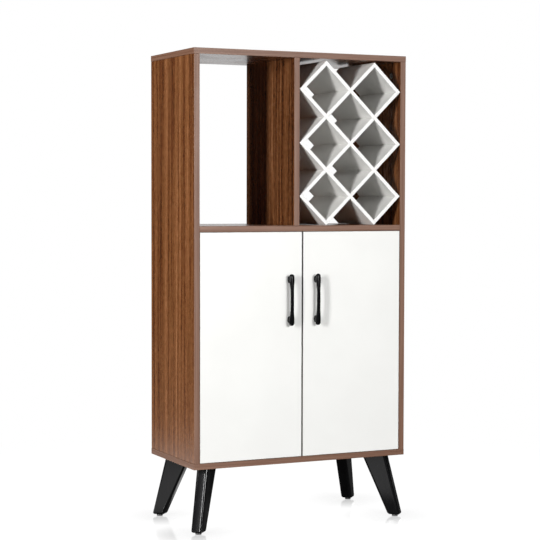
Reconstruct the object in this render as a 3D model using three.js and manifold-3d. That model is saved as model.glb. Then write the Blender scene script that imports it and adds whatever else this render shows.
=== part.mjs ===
// Wine cabinet on splayed legs: an open display bay, a lattice rack for eight bottles and a
// two-door cupboard. Millimetres, +Z up, the front faces -Y, the origin is on the floor below
// the middle of the whole cabinet.

import * as THREE from 'three';
import { mergeVertices } from 'three/addons/utils/BufferGeometryUtils.js';
import Module from 'manifold-3d';

const wasm = await Module();
wasm.setup();

// Driving sizes of the body
const bodyWidth = 600;
const bodyDepth = 292;
const panelThickness = 15;
const sideInset = 0.6;
const cupboardHeight = 577;
const bayHeight = 425;
const displayBayWidth = 260;

// Shared clearances
const seatGap = 0.3;
const cutOverrun = 2;

// Shallow housings in the shelf and the top panel that take the ends of the upright divider
const housingDepth = 1;
const housingClearance = 0.2;

// Back panel of the cupboard and the grooves that hold it
const backThickness = 3;
const backSetIn = 10;
const grooveDepth = 6;

// Adjustable shelf inside the cupboard
const innerShelfSideGap = 1;
const innerShelfFrontGap = 24;
const innerShelfBackGap = 4;
const innerShelfHeightShare = 0.5;
const pinDiameter = 5;
const pinSocketDepth = 9;
const pinReach = 7;
const pinHeadDiameter = 8;
const pinBoreClearance = 0.2;
const pinFrontInset = 37;
const pinRowPitch = 32;
const pinRowCount = 3;

// Cam locks that draw the side panels to the top and bottom panels
const camDiameter = 15;
const camDepth = 12;
const camFromEnd = 34;
const camFromEdge = 50;
const camClearance = 0.2;
const camRim = 1.6;
const camRecess = 0.8;
const camSlotLength = 7;
const camSlotWidth = 1.8;
const camSlotDepth = 3;

// Lattice rack
const rackColumns = 2;
const rackRows = 3;
const rackBoardThickness = 9;
const rackDepth = 197;
const rackRecess = 1;
const rackSideGap = 0.5;
const rackTopGap = 4.5;
const rackSlotClearance = 0.2;
const slopePasses = 8;

// Doors
const doorThickness = 15;
const doorRecess = 0.5;
const doorEdgeGap = 1;
const doorMiddleGap = 4;

// Bow handles
const handleLength = 132;
const handleProjection = 22;
const handlePitch = 102;
const handleWaistWidth = 9;
const handleWaistDepth = 7.5;
const handleEndWidth = 14;
const handleEndDepth = 9;
const handleArch = 3;
const handleFromEdge = 35.5;
const handleAboveMiddle = 115;
const postBaseWidth = 10;
const postBaseHeight = 18;
const postNeckWidth = 8.5;
const postNeckHeight = 15;
const postHeadWidth = 12;
const postHeadHeight = 22;
const postCornerShare = 0.45;
const postNeckShares = [0.33, 0.67];
const handleFaceGap = 0.3;

// Handle screws, driven from inside the door
const screwDiameter = 4;
const screwHeadDiameter = 8.5;
const screwHeadHeight = 2.4;
const screwEngagement = 9;
const screwClearance = 0.3;

// Concealed hinges
const hingeFromDoorEnd = 90;
const cupDiameter = 35;
const cupDepth = 11.5;
const cupWall = 1;
const cupFromDoorEdge = 4;
const cupBoreClearance = 0.3;
const flangeThickness = 1.2;
const flangeMargin = 1.5;
const flangeHeight = 62;
const flangeWidth = 14;
const flangeCorner = 5;
const armHeight = 13;
const noseWidth = 8;
const noseRise = 5;
const armCrankEnd = 24;
const armThickness = 10;
const armEnd = 72;
const plateThickness = 3;
const plateStart = 30;
const plateLength = 38;
const plateHeight = 50;
const plateCorner = 4;
const plateScrewPitch = 32;
const plateScrewDiameter = 7;
const plateScrewHeight = 1.6;

// Splayed legs: diagonal tapered planks
const legHeight = 164;
const legTopWidth = 66;
const legFootWidth = 34;
const legThickness = 31;
const legCorner = 7;
const legCornerLeastShare = 0.25;
const footRoundingShare = 0.75;
const footInsetX = 18;
const footInsetY = 14;
const legSplay = 57;
const glideDiameter = 16;
const glideHeight = 5;
const glideChamfer = 1.2;
const glideNailDiameter = 3;
const glideNailLength = 14;
const nailClearance = 0.2;

// Bolts that hold the legs, with flat heads on the cupboard floor
const boltDiameter = 8;
const boltHeadDiameter = 17;
const boltHeadHeight = 2.5;
const boltSocketDiameter = 5;
const boltSocketDepth = 1.8;
const boltSocketSides = 6;
const boltDepthInLeg = 34;
const boltClearance = 0.3;

// Facets of round forms
const roundSegments = 28;
const smallRoundSegments = 12;
const cornerSegments = 3;
const sectionPoints = 16;

// Places worked out from the driving sizes, in the body's frame: x from the middle,
// y from the front plane and z from the underside of the bottom panel
const halfWidth = bodyWidth / 2;
const innerX = halfWidth - sideInset - panelThickness;
const floorTop = panelThickness;
const shelfUnderside = floorTop + cupboardHeight;
const shelfTop = shelfUnderside + panelThickness;
const ceiling = shelfTop + bayHeight;
const bodyTop = ceiling + panelThickness;
const dividerLeft = -innerX + displayBayWidth;
const dividerRight = dividerLeft + panelThickness;
const backFrontY = bodyDepth - backSetIn - backThickness;
const doorInnerY = doorRecess + doorThickness;
const doorWidth = innerX - doorEdgeGap - doorMiddleGap / 2;
const doorHeight = cupboardHeight - 2 * doorEdgeGap;
const hingeAxisX = innerX - doorEdgeGap;

const sides = [
  { name: 'left', sign: -1 },
  { name: 'right', sign: 1 },
];
const ends = [
  { name: 'front', sign: -1 },
  { name: 'back', sign: 1 },
];
const levels = [
  { name: 'upper', sign: 1 },
  { name: 'lower', sign: -1 },
];

// Materials
const walnut = new THREE.MeshStandardMaterial({ color: 0x7b4f31, roughness: 0.45, metalness: 0 });
const whiteLacquer = new THREE.MeshStandardMaterial({ color: 0xf3f1ec, roughness: 0.35, metalness: 0 });
const whiteBoard = new THREE.MeshStandardMaterial({ color: 0xefede8, roughness: 0.5, metalness: 0 });
const backBoard = new THREE.MeshStandardMaterial({ color: 0x6f4a30, roughness: 0.6, metalness: 0 });
const blackPaint = new THREE.MeshStandardMaterial({ color: 0x232324, roughness: 0.4, metalness: 0 });
const blackGloss = new THREE.MeshStandardMaterial({ color: 0x101011, roughness: 0.15, metalness: 0 });
const blackPlastic = new THREE.MeshStandardMaterial({ color: 0x1c1c1c, roughness: 0.6, metalness: 0 });
const nickel = new THREE.MeshStandardMaterial({ color: 0xb9b7b0, roughness: 0.3, metalness: 1 });
const zinc = new THREE.MeshStandardMaterial({ color: 0xa3a39f, roughness: 0.45, metalness: 1 });

// Solid modelling: closed geometries go in, closed geometries come out

function solidOf(geometry) {
  const bare = geometry.clone();
  bare.deleteAttribute('normal');
  bare.deleteAttribute('uv');
  const merged = mergeVertices(bare);
  const vertProperties = new Float32Array(merged.attributes.position.array);
  const triVerts = new Uint32Array(merged.index.array);
  return new wasm.Manifold(new wasm.Mesh({ numProp: 3, vertProperties, triVerts }));
}

function geometryOf(solid) {
  const mesh = solid.getMesh();
  const geometry = new THREE.BufferGeometry();
  geometry.setAttribute('position', new THREE.BufferAttribute(mesh.vertProperties, 3));
  geometry.setIndex(new THREE.BufferAttribute(mesh.triVerts, 1));
  geometry.computeVertexNormals();
  return geometry;
}

function cut(geometry, tools) {
  let solid = solidOf(geometry);
  for (const tool of tools) solid = solid.subtract(solidOf(tool));
  return geometryOf(solid);
}

function join(geometries) {
  let solid = solidOf(geometries[0]);
  for (const geometry of geometries.slice(1)) solid = solid.add(solidOf(geometry));
  return geometryOf(solid);
}

// A block between two corners
function block(x0, x1, y0, y1, z0, z1) {
  const geometry = new THREE.BoxGeometry(x1 - x0, y1 - y0, z1 - z0);
  return geometry.translate((x0 + x1) / 2, (y0 + y1) / 2, (z0 + z1) / 2);
}

// A round bar along one axis, from one place on it to another, centred at (a, b) across it
function bar(axis, diameter, from, to, a, b, segments = smallRoundSegments) {
  const geometry = new THREE.CylinderGeometry(diameter / 2, diameter / 2, Math.abs(to - from), segments);
  const middle = (from + to) / 2;
  if (axis === 'x') return geometry.rotateZ(-Math.PI / 2).translate(middle, a, b);
  if (axis === 'y') return geometry.translate(a, middle, b);
  return geometry.rotateX(Math.PI / 2).translate(a, b, middle);
}

// A revolved body: (radius, place along +Z) points, starting and ending on the axis
function revolve(points, segments) {
  const profile = points.map(([radius, along]) => new THREE.Vector2(radius, along));
  return new THREE.LatheGeometry(profile, segments).rotateX(Math.PI / 2);
}

// A ring of points round a rectangle with rounded corners
function roundedRing(width, height, radius, steps = cornerSegments) {
  const points = [];
  for (let corner = 0; corner < 4; corner += 1) {
    const start = (corner * Math.PI) / 2;
    const cx = (width / 2 - radius) * (corner === 0 || corner === 3 ? 1 : -1);
    const cy = (height / 2 - radius) * (corner < 2 ? 1 : -1);
    for (let step = 0; step <= steps; step += 1) {
      const angle = start + (step / steps) * (Math.PI / 2);
      points.push(new THREE.Vector2(cx + radius * Math.cos(angle), cy + radius * Math.sin(angle)));
    }
  }
  return points;
}

// A plate with rounded corners, lying in the XY plane with its underside at z = 0
function roundedPlate(width, height, radius, thickness) {
  const outline = new THREE.Shape(roundedRing(width, height, radius));
  return new THREE.ExtrudeGeometry(outline, { depth: thickness, bevelEnabled: false });
}

// A closed skin over rings of equal count, each ring turning the same way about the run
function loft(rings) {
  const count = rings[0].length;
  const positions = [];
  const index = [];
  for (const ring of rings) {
    for (const point of ring) positions.push(point.x, point.y, point.z);
  }
  for (let ring = 0; ring + 1 < rings.length; ring += 1) {
    for (let k = 0; k < count; k += 1) {
      const next = (k + 1) % count;
      const a = ring * count + k;
      const b = ring * count + next;
      const c = (ring + 1) * count + next;
      const d = (ring + 1) * count + k;
      index.push(a, b, c, a, c, d);
    }
  }
  const last = (rings.length - 1) * count;
  for (let k = 1; k + 1 < count; k += 1) {
    index.push(0, k + 1, k);
    index.push(last, last + k, last + k + 1);
  }
  const geometry = new THREE.BufferGeometry();
  geometry.setAttribute('position', new THREE.Float32BufferAttribute(positions, 3));
  geometry.setIndex(index);
  geometry.computeVertexNormals();
  return geometry;
}

// Scene graph helpers

function meshOf(name, geometry, material, position = new THREE.Vector3(), rotation = new THREE.Euler()) {
  const mesh = new THREE.Mesh(geometry, material);
  mesh.name = name;
  mesh.position.copy(position);
  mesh.rotation.copy(rotation);
  return mesh;
}

// A mesh whose geometry was drawn in its group's frame, moved to sit round its own middle
function centredMesh(name, geometry, material) {
  geometry.computeBoundingBox();
  const middle = geometry.boundingBox.getCenter(new THREE.Vector3());
  return meshOf(name, geometry.translate(-middle.x, -middle.y, -middle.z), material, middle);
}

// A z-symmetric piece drawn for the left side stands turned about +Y on the right side
function facing(side) {
  return new THREE.Euler(0, side.sign > 0 ? Math.PI : 0, 0);
}

// Carcass panels

const camPlaces = [];
for (const end of [{ name: 'top', z: ceiling - camFromEnd }, { name: 'bottom', z: floorTop + camFromEnd }]) {
  for (const edge of ends) {
    const y = edge.sign < 0 ? camFromEdge : bodyDepth - camFromEdge;
    camPlaces.push({ name: `${end.name}_${edge.name}`, y, z: end.z });
  }
}

const legPlaces = [];
for (const end of ends) {
  for (const side of sides) {
    const inwardX = halfWidth - footInsetX - legSplay * Math.SQRT1_2;
    const insetY = footInsetY + legSplay * Math.SQRT1_2;
    legPlaces.push({
      name: `${end.name}_${side.name}`,
      x: side.sign * inwardX,
      y: end.sign < 0 ? insetY : bodyDepth - insetY,
      heading: Math.atan2(end.sign, side.sign),
    });
  }
}

const innerShelfFrontY = doorInnerY + innerShelfFrontGap;
const innerShelfBackY = backFrontY - innerShelfBackGap;
const innerShelfZ = floorTop + cupboardHeight * innerShelfHeightShare;
const pinZ = innerShelfZ - seatGap - pinHeadDiameter / 2;
const pinPlaces = ends.map((end) => ({
  name: end.name,
  y: end.sign < 0 ? innerShelfFrontY + pinFrontInset : innerShelfBackY - pinFrontInset,
}));

function backGroove(x0, x1, z0, z1) {
  return block(x0, x1, backFrontY - seatGap, backFrontY + backThickness + seatGap, z0, z1);
}

// The divider's ends are let into the shelf and the top panel, so each bay has its own floor
function dividerHousing(z0, z1) {
  const x0 = dividerLeft - housingClearance;
  const x1 = dividerRight + housingClearance;
  return block(x0, x1, -cutOverrun, bodyDepth + cutOverrun, z0, z1);
}

function topPanel() {
  const housing = dividerHousing(ceiling - cutOverrun, ceiling + housingDepth);
  const body = block(-halfWidth, halfWidth, 0, bodyDepth, ceiling, bodyTop);
  return centredMesh('top_panel', cut(body, [housing]), walnut);
}

function sidePanel(side) {
  const inner = side.sign * innerX;
  const outer = side.sign * (innerX + panelThickness);
  const mouth = inner - side.sign * cutOverrun;
  const z0 = floorTop + seatGap;
  const z1 = ceiling - seatGap;
  const tools = [];
  for (const place of camPlaces) {
    const floorOfBore = inner + side.sign * (camDepth + camClearance);
    const diameter = camDiameter + 2 * camClearance;
    tools.push(bar('x', diameter, mouth, floorOfBore, place.y, place.z, roundSegments));
  }
  for (const place of pinPlaces) {
    for (let row = 0; row < pinRowCount; row += 1) {
      const z = pinZ + (row - (pinRowCount - 1) / 2) * pinRowPitch;
      const bottom = inner + side.sign * (pinSocketDepth + pinBoreClearance);
      tools.push(bar('x', pinDiameter + 2 * pinBoreClearance, mouth, bottom, place.y, z));
    }
  }
  const grooveEnd = inner + side.sign * (grooveDepth + seatGap);
  tools.push(backGroove(
    Math.min(mouth, grooveEnd),
    Math.max(mouth, grooveEnd),
    z0 - cutOverrun,
    shelfTop - seatGap,
  ));
  const body = block(Math.min(inner, outer), Math.max(inner, outer), 0, bodyDepth, z0, z1);
  return centredMesh(`${side.name}_side_panel`, cut(body, tools), walnut);
}

function bottomPanel() {
  const grooveReach = innerX + grooveDepth + seatGap;
  const tools = [
    backGroove(-grooveReach, grooveReach, floorTop - grooveDepth - seatGap, floorTop + cutOverrun),
  ];
  for (const place of legPlaces) {
    const diameter = boltDiameter + 2 * boltClearance;
    tools.push(bar('z', diameter, -cutOverrun, floorTop + cutOverrun, place.x, place.y));
  }
  const body = block(-halfWidth, halfWidth, 0, bodyDepth, 0, floorTop);
  return centredMesh('bottom_panel', cut(body, tools), walnut);
}

function middleShelf() {
  const reach = innerX - seatGap;
  const body = block(-reach, reach, 0, bodyDepth, shelfUnderside, shelfTop);
  const groove = backGroove(
    -innerX - cutOverrun,
    innerX + cutOverrun,
    shelfUnderside - cutOverrun,
    shelfUnderside + grooveDepth + seatGap,
  );
  const housing = dividerHousing(shelfTop - housingDepth, shelfTop + cutOverrun);
  return centredMesh('middle_shelf', cut(body, [groove, housing]), walnut);
}

function carcassPanels() {
  const divider = block(
    dividerLeft,
    dividerRight,
    0,
    bodyDepth,
    shelfTop - housingDepth + seatGap,
    ceiling + housingDepth - seatGap,
  );
  const backReach = innerX + grooveDepth;
  const back = block(
    -backReach,
    backReach,
    backFrontY,
    backFrontY + backThickness,
    floorTop - grooveDepth,
    shelfUnderside + grooveDepth,
  );
  const innerReach = innerX - innerShelfSideGap;
  const innerShelf = block(
    -innerReach,
    innerReach,
    innerShelfFrontY,
    innerShelfBackY,
    innerShelfZ,
    innerShelfZ + panelThickness,
  );
  return [
    topPanel(),
    bottomPanel(),
    ...sides.map(sidePanel),
    middleShelf(),
    centredMesh('bay_divider', divider, walnut),
    centredMesh('cupboard_back_panel', back, backBoard),
    centredMesh('cupboard_shelf', innerShelf, walnut),
  ];
}

// Cam locks: a disc with a raised rim and a crossed driver slot, its face looking along +X
function camLockGeometry() {
  const disc = bar('x', camDiameter, -camDepth, 0, 0, 0, roundSegments);
  const recess = bar('x', camDiameter - 2 * camRim, -camRecess, cutOverrun, 0, 0, roundSegments);
  const slotBottom = -camRecess - camSlotDepth;
  const half = camSlotLength / 2;
  const halfSlot = camSlotWidth / 2;
  const upright = block(slotBottom, cutOverrun, -halfSlot, halfSlot, -half, half);
  const level = block(slotBottom, cutOverrun, -half, half, -halfSlot, halfSlot);
  return cut(disc, [recess, upright, level]);
}

function camLocks() {
  const meshes = [];
  for (const place of camPlaces) {
    for (const side of sides) {
      const position = new THREE.Vector3(side.sign * innerX, place.y, place.z);
      const name = `cam_lock_${place.name}_${side.name}`;
      meshes.push(meshOf(name, camLockGeometry(), zinc, position, facing(side)));
    }
  }
  return meshes;
}

// Shelf pins: a peg in the wall and a wider head under the shelf, the head towards +X
function shelfPinGeometry() {
  const headRadius = pinHeadDiameter / 2;
  const pegRadius = pinDiameter / 2;
  const profile = [
    [0, -pinSocketDepth],
    [pegRadius, -pinSocketDepth],
    [pegRadius, seatGap],
    [headRadius, seatGap],
    [headRadius, pinReach],
    [0, pinReach],
  ];
  return revolve(profile, smallRoundSegments).rotateY(Math.PI / 2);
}

function shelfPins() {
  const meshes = [];
  for (const place of pinPlaces) {
    for (const side of sides) {
      const position = new THREE.Vector3(side.sign * innerX, place.y, pinZ);
      const name = `shelf_pin_${place.name}_${side.name}`;
      meshes.push(meshOf(name, shelfPinGeometry(), nickel, position, facing(side)));
    }
  }
  return meshes;
}

// Lattice rack. Its boards lie on falling and rising lines of a grid of half cells. A falling
// line holds the grid points whose column and row add up to its number, a rising line those
// whose row less column is its number. The points in use have odd sums.

const rackBayWidth = innerX - dividerRight;
const rackWidth = rackBayWidth - 2 * rackSideGap;
const rackHeight = bayHeight - rackTopGap - seatGap;

// Slope of the boards: the lattice with its board thickness fills the rack's width and height
function rackSlope() {
  let slope = Math.atan2(rackHeight / rackRows, rackWidth / rackColumns);
  for (let pass = 0; pass < slopePasses; pass += 1) {
    const high = (rackHeight - rackBoardThickness / Math.cos(slope)) / rackRows;
    const wide = (rackWidth - rackBoardThickness / Math.sin(slope)) / rackColumns;
    slope = Math.atan2(high, wide);
  }
  return slope;
}

const slope = rackSlope();
const halfCellWidth = (rackWidth - rackBoardThickness / Math.sin(slope)) / (2 * rackColumns);
const lineStep = halfCellWidth * Math.sin(slope);

// The point where a falling line's offset meets a rising line's offset, as seen from the front
function latticePoint(falling, rising) {
  return new THREE.Vector2(
    (falling - rising) / (2 * Math.sin(slope)),
    (falling + rising) / (2 * Math.cos(slope)),
  );
}

// A four-sided bar of the lattice between two falling and two rising offsets, run back in depth
function latticeBar(falling, rising, y0, y1) {
  const outline = new THREE.Shape([
    latticePoint(falling[0], rising[0]),
    latticePoint(falling[1], rising[0]),
    latticePoint(falling[1], rising[1]),
    latticePoint(falling[0], rising[1]),
  ]);
  const geometry = new THREE.ExtrudeGeometry(outline, { depth: y1 - y0, bevelEnabled: false });
  return geometry.rotateX(Math.PI / 2).translate(0, y1, 0);
}

function band(line, margin) {
  const middle = line * lineStep;
  return [middle - rackBoardThickness / 2 - margin, middle + rackBoardThickness / 2 + margin];
}

// The odd-numbered lines of both kinds and the crossing lines that each one spans
function rackLines() {
  const columns = 2 * rackColumns;
  const rows = 2 * rackRows;
  const lines = [];
  for (let sum = 1; sum < columns + rows; sum += 2) {
    const crossings = [];
    for (let column = 0; column <= columns; column += 1) {
      const row = sum - column;
      if (row >= 0 && row <= rows) crossings.push(row - column);
    }
    lines.push({ kind: 'falling', line: sum, crossings });
  }
  for (let difference = 1 - columns; difference < rows; difference += 2) {
    const crossings = [];
    for (let column = 0; column <= columns; column += 1) {
      const row = difference + column;
      if (row >= 0 && row <= rows) crossings.push(row + column);
    }
    lines.push({ kind: 'rising', line: difference, crossings });
  }
  return lines;
}

// Half-lap joints: a falling board keeps its front half at each crossing and a rising board
// its back half, and each slot is cut to the crossing board's own thickness and slope
function rackBoardGeometry({ kind, line, crossings }) {
  const first = Math.min(...crossings) * lineStep - rackBoardThickness / 2;
  const last = Math.max(...crossings) * lineStep + rackBoardThickness / 2;
  const own = band(line, 0);
  const reach = cutOverrun + rackBoardThickness;
  const middle = rackDepth / 2;
  const widened = [own[0] - reach, own[1] + reach];
  if (kind === 'falling') {
    const slots = crossings.map((crossing) => latticeBar(
      widened,
      band(crossing, rackSlotClearance),
      middle - rackSlotClearance / 2,
      rackDepth + cutOverrun,
    ));
    return cut(latticeBar(own, [first, last], 0, rackDepth), slots);
  }
  const slots = crossings.map((crossing) => latticeBar(
    band(crossing, rackSlotClearance),
    widened,
    -cutOverrun,
    middle + rackSlotClearance / 2,
  ));
  return cut(latticeBar([first, last], own, 0, rackDepth), slots);
}

function latticeRack() {
  const rack = new THREE.Group();
  const margin = rackBoardThickness / 2;
  const lowest = margin / Math.cos(slope);
  const leftmost = margin / Math.sin(slope);
  rack.position.set(
    dividerRight + rackSideGap + leftmost,
    rackRecess,
    shelfTop + seatGap + lowest,
  );
  const numbers = { falling: 0, rising: 0 };
  for (const entry of rackLines()) {
    numbers[entry.kind] += 1;
    const name = `rack_${entry.kind}_board_${numbers[entry.kind]}`;
    rack.add(centredMesh(name, rackBoardGeometry(entry), whiteBoard));
  }
  return rack;
}

// Bow handle: its frame's origin is on the door's face between the posts, +Z along the grip
function gripRing(share) {
  const along = Math.abs(share);
  const flareStartShare = 0.35;
  const flareEndShare = 0.84;
  const roundStartShare = 0.9;
  const flare = THREE.MathUtils.smoothstep(along, flareStartShare, flareEndShare);
  const past = Math.max(0, (along - roundStartShare) / (1 - roundStartShare));
  const closing = Math.sqrt(Math.max(0, 1 - past * past));
  const width = THREE.MathUtils.lerp(handleWaistWidth, handleEndWidth, flare) * closing;
  const depth = THREE.MathUtils.lerp(handleWaistDepth, handleEndDepth, flare);
  const face = -(handleProjection - handleArch * along * along);
  const centre = face + depth / 2;
  const points = [];
  for (let k = 0; k < sectionPoints; k += 1) {
    const angle = (2 * Math.PI * k) / sectionPoints;
    const x = (width / 2) * Math.cos(angle);
    const y = centre + (depth / 2) * closing * Math.sin(angle);
    points.push(new THREE.Vector3(x, y, (share * handleLength) / 2));
  }
  return points;
}

function postGeometry(level) {
  const headY = -(handleProjection - handleArch - handleEndDepth / 2);
  const stations = [
    { y: -handleFaceGap, width: postBaseWidth, height: postBaseHeight },
    ...postNeckShares.map((share) => ({ y: headY * share, width: postNeckWidth, height: postNeckHeight })),
    { y: headY, width: postHeadWidth, height: postHeadHeight },
  ];
  const rings = stations.map(({ y, width, height }) => {
    const radius = Math.min(width, height) * postCornerShare;
    return roundedRing(width, height, radius).map((point) => new THREE.Vector3(point.x, y, point.y));
  });
  return loft(rings).translate(0, 0, (level.sign * handlePitch) / 2);
}

function handleGeometry() {
  const tipShare = 0.995;
  const gripShares = [0, 0.35, 0.5, 0.62, 0.74, 0.84, 0.9, 0.95, tipShare];
  const shares = [...gripShares.slice(1).reverse().map((share) => -share), ...gripShares];
  const grip = loft(shares.map(gripRing));
  const posts = levels.map(postGeometry);
  const bores = levels.map((level) => bar(
    'y',
    screwDiameter + 2 * screwClearance,
    cutOverrun,
    -(screwEngagement + screwClearance),
    0,
    (level.sign * handlePitch) / 2,
  ));
  return cut(join([grip, ...posts]), bores);
}

// Handle screws: the head bears on the door's inner face, the shank runs forward into the post
function handleScrewGeometry() {
  const shank = doorThickness + screwEngagement;
  const headRadius = screwHeadDiameter / 2;
  const profile = [
    [0, -shank],
    [screwDiameter / 2, -shank],
    [screwDiameter / 2, seatGap],
    [headRadius, seatGap],
    [headRadius, seatGap + screwHeadHeight / 2],
    [headRadius / 2, seatGap + screwHeadHeight],
    [0, seatGap + screwHeadHeight],
  ];
  return revolve(profile, smallRoundSegments).rotateX(-Math.PI / 2);
}

// Concealed hinge. Its frame has x = 0 on the side panel's inner face and y = 0 on the door's
// inner face, both drawn for the left side.
const cupCentreFromPanel = doorEdgeGap + cupFromDoorEdge + cupDiameter / 2;

// The cup: an open bowl let into the door and a flange on the door's inner face
function hingeCupGeometry() {
  const radius = cupDiameter / 2;
  const bowl = revolve([
    [0, -cupDepth],
    [radius, -cupDepth],
    [radius, seatGap + flangeThickness],
    [0, seatGap + flangeThickness],
  ], roundSegments);
  const rim = revolve([
    [0, seatGap],
    [radius + flangeMargin, seatGap],
    [radius + flangeMargin, seatGap + flangeThickness],
    [0, seatGap + flangeThickness],
  ], roundSegments);
  const wings = roundedPlate(flangeWidth, flangeHeight, flangeCorner, flangeThickness);
  const mouth = flangeThickness + cutOverrun;
  const inside = bar('z', cupDiameter - 2 * cupWall, cupWall - cupDepth, mouth, 0, 0, roundSegments);
  const cup = cut(join([bowl, rim, wings.translate(0, 0, seatGap)]), [inside]);
  return cup.rotateX(-Math.PI / 2);
}

// The arm: a cranked bar from the plate on the side panel to a nose that reaches the cup's floor.
// The nose keeps clear of the cup's rim while the door swings about its outer front corner.
function hingeArmGeometry() {
  const noseLeft = cupCentreFromPanel - noseWidth / 2;
  const noseRight = cupCentreFromPanel + noseWidth / 2;
  const noseEnd = cupWall + seatGap - cupDepth;
  const back = plateThickness + armThickness;
  const seat = plateThickness - seatGap;
  const outline = new THREE.Shape();
  outline.moveTo(noseLeft, noseEnd);
  outline.lineTo(noseRight, noseEnd);
  outline.lineTo(noseRight, noseRise);
  outline.quadraticCurveTo(noseRight, armCrankEnd / 2, back, armCrankEnd + noseRise);
  outline.lineTo(back, armEnd);
  outline.lineTo(seat, armEnd);
  outline.lineTo(seat, armCrankEnd);
  outline.quadraticCurveTo(seat, armCrankEnd / 2, noseLeft, noseRise);
  outline.closePath();
  const arm = new THREE.ExtrudeGeometry(outline, {
    depth: armHeight,
    bevelEnabled: false,
    curveSegments: cornerSegments,
  });
  const plate = roundedPlate(plateHeight, plateLength, plateCorner, plateThickness - seatGap);
  plate.rotateY(Math.PI / 2).translate(seatGap, plateStart + plateLength / 2, 0);
  const screws = levels.map((level) => bar(
    'x',
    plateScrewDiameter,
    plateThickness - seatGap,
    plateThickness + plateScrewHeight,
    plateStart + plateLength / 2,
    (level.sign * plateScrewPitch) / 2,
  ));
  return join([arm.translate(0, 0, -armHeight / 2), plate, ...screws]);
}

function hingePlaces() {
  return levels.map((level) => ({
    name: level.name,
    z: floorTop + cupboardHeight / 2 + level.sign * (doorHeight / 2 - hingeFromDoorEnd),
  }));
}

function hingeArms(side) {
  return hingePlaces().map((place) => meshOf(
    `${side.name}_${place.name}_hinge_arm`,
    hingeArmGeometry(),
    nickel,
    new THREE.Vector3(side.sign * innerX, doorInnerY, place.z),
    facing(side),
  ));
}

// A door hangs in a group that stands on its hinge line, the outer front corner of the door
function doorGroup(side) {
  const group = new THREE.Group();
  const inward = -side.sign;
  const bottom = floorTop + doorEdgeGap;
  group.position.set(side.sign * hingeAxisX, doorRecess, bottom);
  const cupX = inward * (cupFromDoorEdge + cupDiameter / 2);
  const handleX = inward * (doorWidth - handleFromEdge);
  const handleZ = doorHeight / 2 + handleAboveMiddle;
  const tools = [];
  for (const place of hingePlaces()) {
    tools.push(bar(
      'y',
      cupDiameter + 2 * cupBoreClearance,
      doorThickness - cupDepth - cupBoreClearance,
      doorThickness + cutOverrun,
      cupX,
      place.z - bottom,
      roundSegments,
    ));
  }
  for (const level of levels) {
    const z = handleZ + (level.sign * handlePitch) / 2;
    const diameter = screwDiameter + 2 * screwClearance;
    tools.push(bar('y', diameter, -cutOverrun, doorThickness + cutOverrun, handleX, z));
  }
  const near = Math.min(0, inward * doorWidth);
  const far = Math.max(0, inward * doorWidth);
  const slab = block(near, far, 0, doorThickness, 0, doorHeight);
  group.add(centredMesh(`${side.name}_door`, cut(slab, tools), whiteLacquer));

  const handleAt = new THREE.Vector3(handleX, 0, handleZ);
  group.add(meshOf(`${side.name}_handle`, handleGeometry(), blackGloss, handleAt));
  for (const level of levels) {
    const at = new THREE.Vector3(handleX, doorThickness, handleZ + (level.sign * handlePitch) / 2);
    group.add(meshOf(`${side.name}_handle_${level.name}_screw`, handleScrewGeometry(), nickel, at));
  }
  for (const place of hingePlaces()) {
    const at = new THREE.Vector3(cupX, doorThickness, place.z - bottom);
    group.add(meshOf(`${side.name}_${place.name}_hinge_cup`, hingeCupGeometry(), nickel, at));
  }
  return group;
}

// Legs. A leg's frame has its origin at the middle of the leg's top face and +X outwards
// along the plank, so that a turn about +Z sets it on any corner.

const woodHeight = legHeight - glideHeight - seatGap;

function legRing(share, inset) {
  const width = THREE.MathUtils.lerp(legTopWidth, legFootWidth, share) - 2 * inset;
  const thickness = legThickness - 2 * inset;
  const radius = Math.max(legCorner - inset, legCorner * legCornerLeastShare);
  const z = -woodHeight * share;
  return roundedRing(width, thickness, radius).map(
    (point) => new THREE.Vector3(point.x + legSplay * share, point.y, z),
  );
}

function legGeometry() {
  const rings = [legRing(0, 0)];
  for (let step = 0; step <= cornerSegments; step += 1) {
    const angle = (step / cornerSegments) * (Math.PI / 2);
    const up = legCorner * (1 - Math.sin(angle));
    const inset = legCorner * (1 - Math.cos(angle)) * footRoundingShare;
    rings.push(legRing(1 - up / woodHeight, inset));
  }
  const blank = loft(rings.reverse());
  const boltBore = boltDiameter + 2 * boltClearance;
  const bolt = bar('z', boltBore, -(boltDepthInLeg + boltClearance), cutOverrun, 0, 0);
  const nail = bar(
    'z',
    glideNailDiameter + 2 * nailClearance,
    -woodHeight - cutOverrun,
    -woodHeight + glideNailLength + nailClearance,
    legSplay,
    0,
  );
  return cut(blank, [bolt, nail]);
}

function glideGeometry() {
  const radius = glideDiameter / 2;
  const nailRadius = glideNailDiameter / 2;
  return revolve([
    [0, 0],
    [radius - glideChamfer, 0],
    [radius, glideChamfer],
    [radius, glideHeight],
    [nailRadius, glideHeight],
    [nailRadius, glideHeight + glideNailLength],
    [0, glideHeight + glideNailLength],
  ], smallRoundSegments);
}

// A leg bolt hangs from its head: z = 0 is the face that the head bears on
function legBoltGeometry() {
  const headTop = seatGap + boltHeadHeight;
  const shankBottom = -(panelThickness + seatGap + boltDepthInLeg);
  const profile = revolve([
    [0, shankBottom],
    [boltDiameter / 2, shankBottom],
    [boltDiameter / 2, seatGap],
    [boltHeadDiameter / 2, seatGap],
    [boltHeadDiameter / 2, headTop - boltHeadHeight / 2],
    [boltHeadDiameter / 2 - boltHeadHeight / 2, headTop],
    [0, headTop],
  ], roundSegments / 2);
  const socketBottom = headTop - boltSocketDepth;
  const socket = bar('z', boltSocketDiameter, socketBottom, headTop + cutOverrun, 0, 0, boltSocketSides);
  return cut(profile, [socket]);
}

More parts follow.
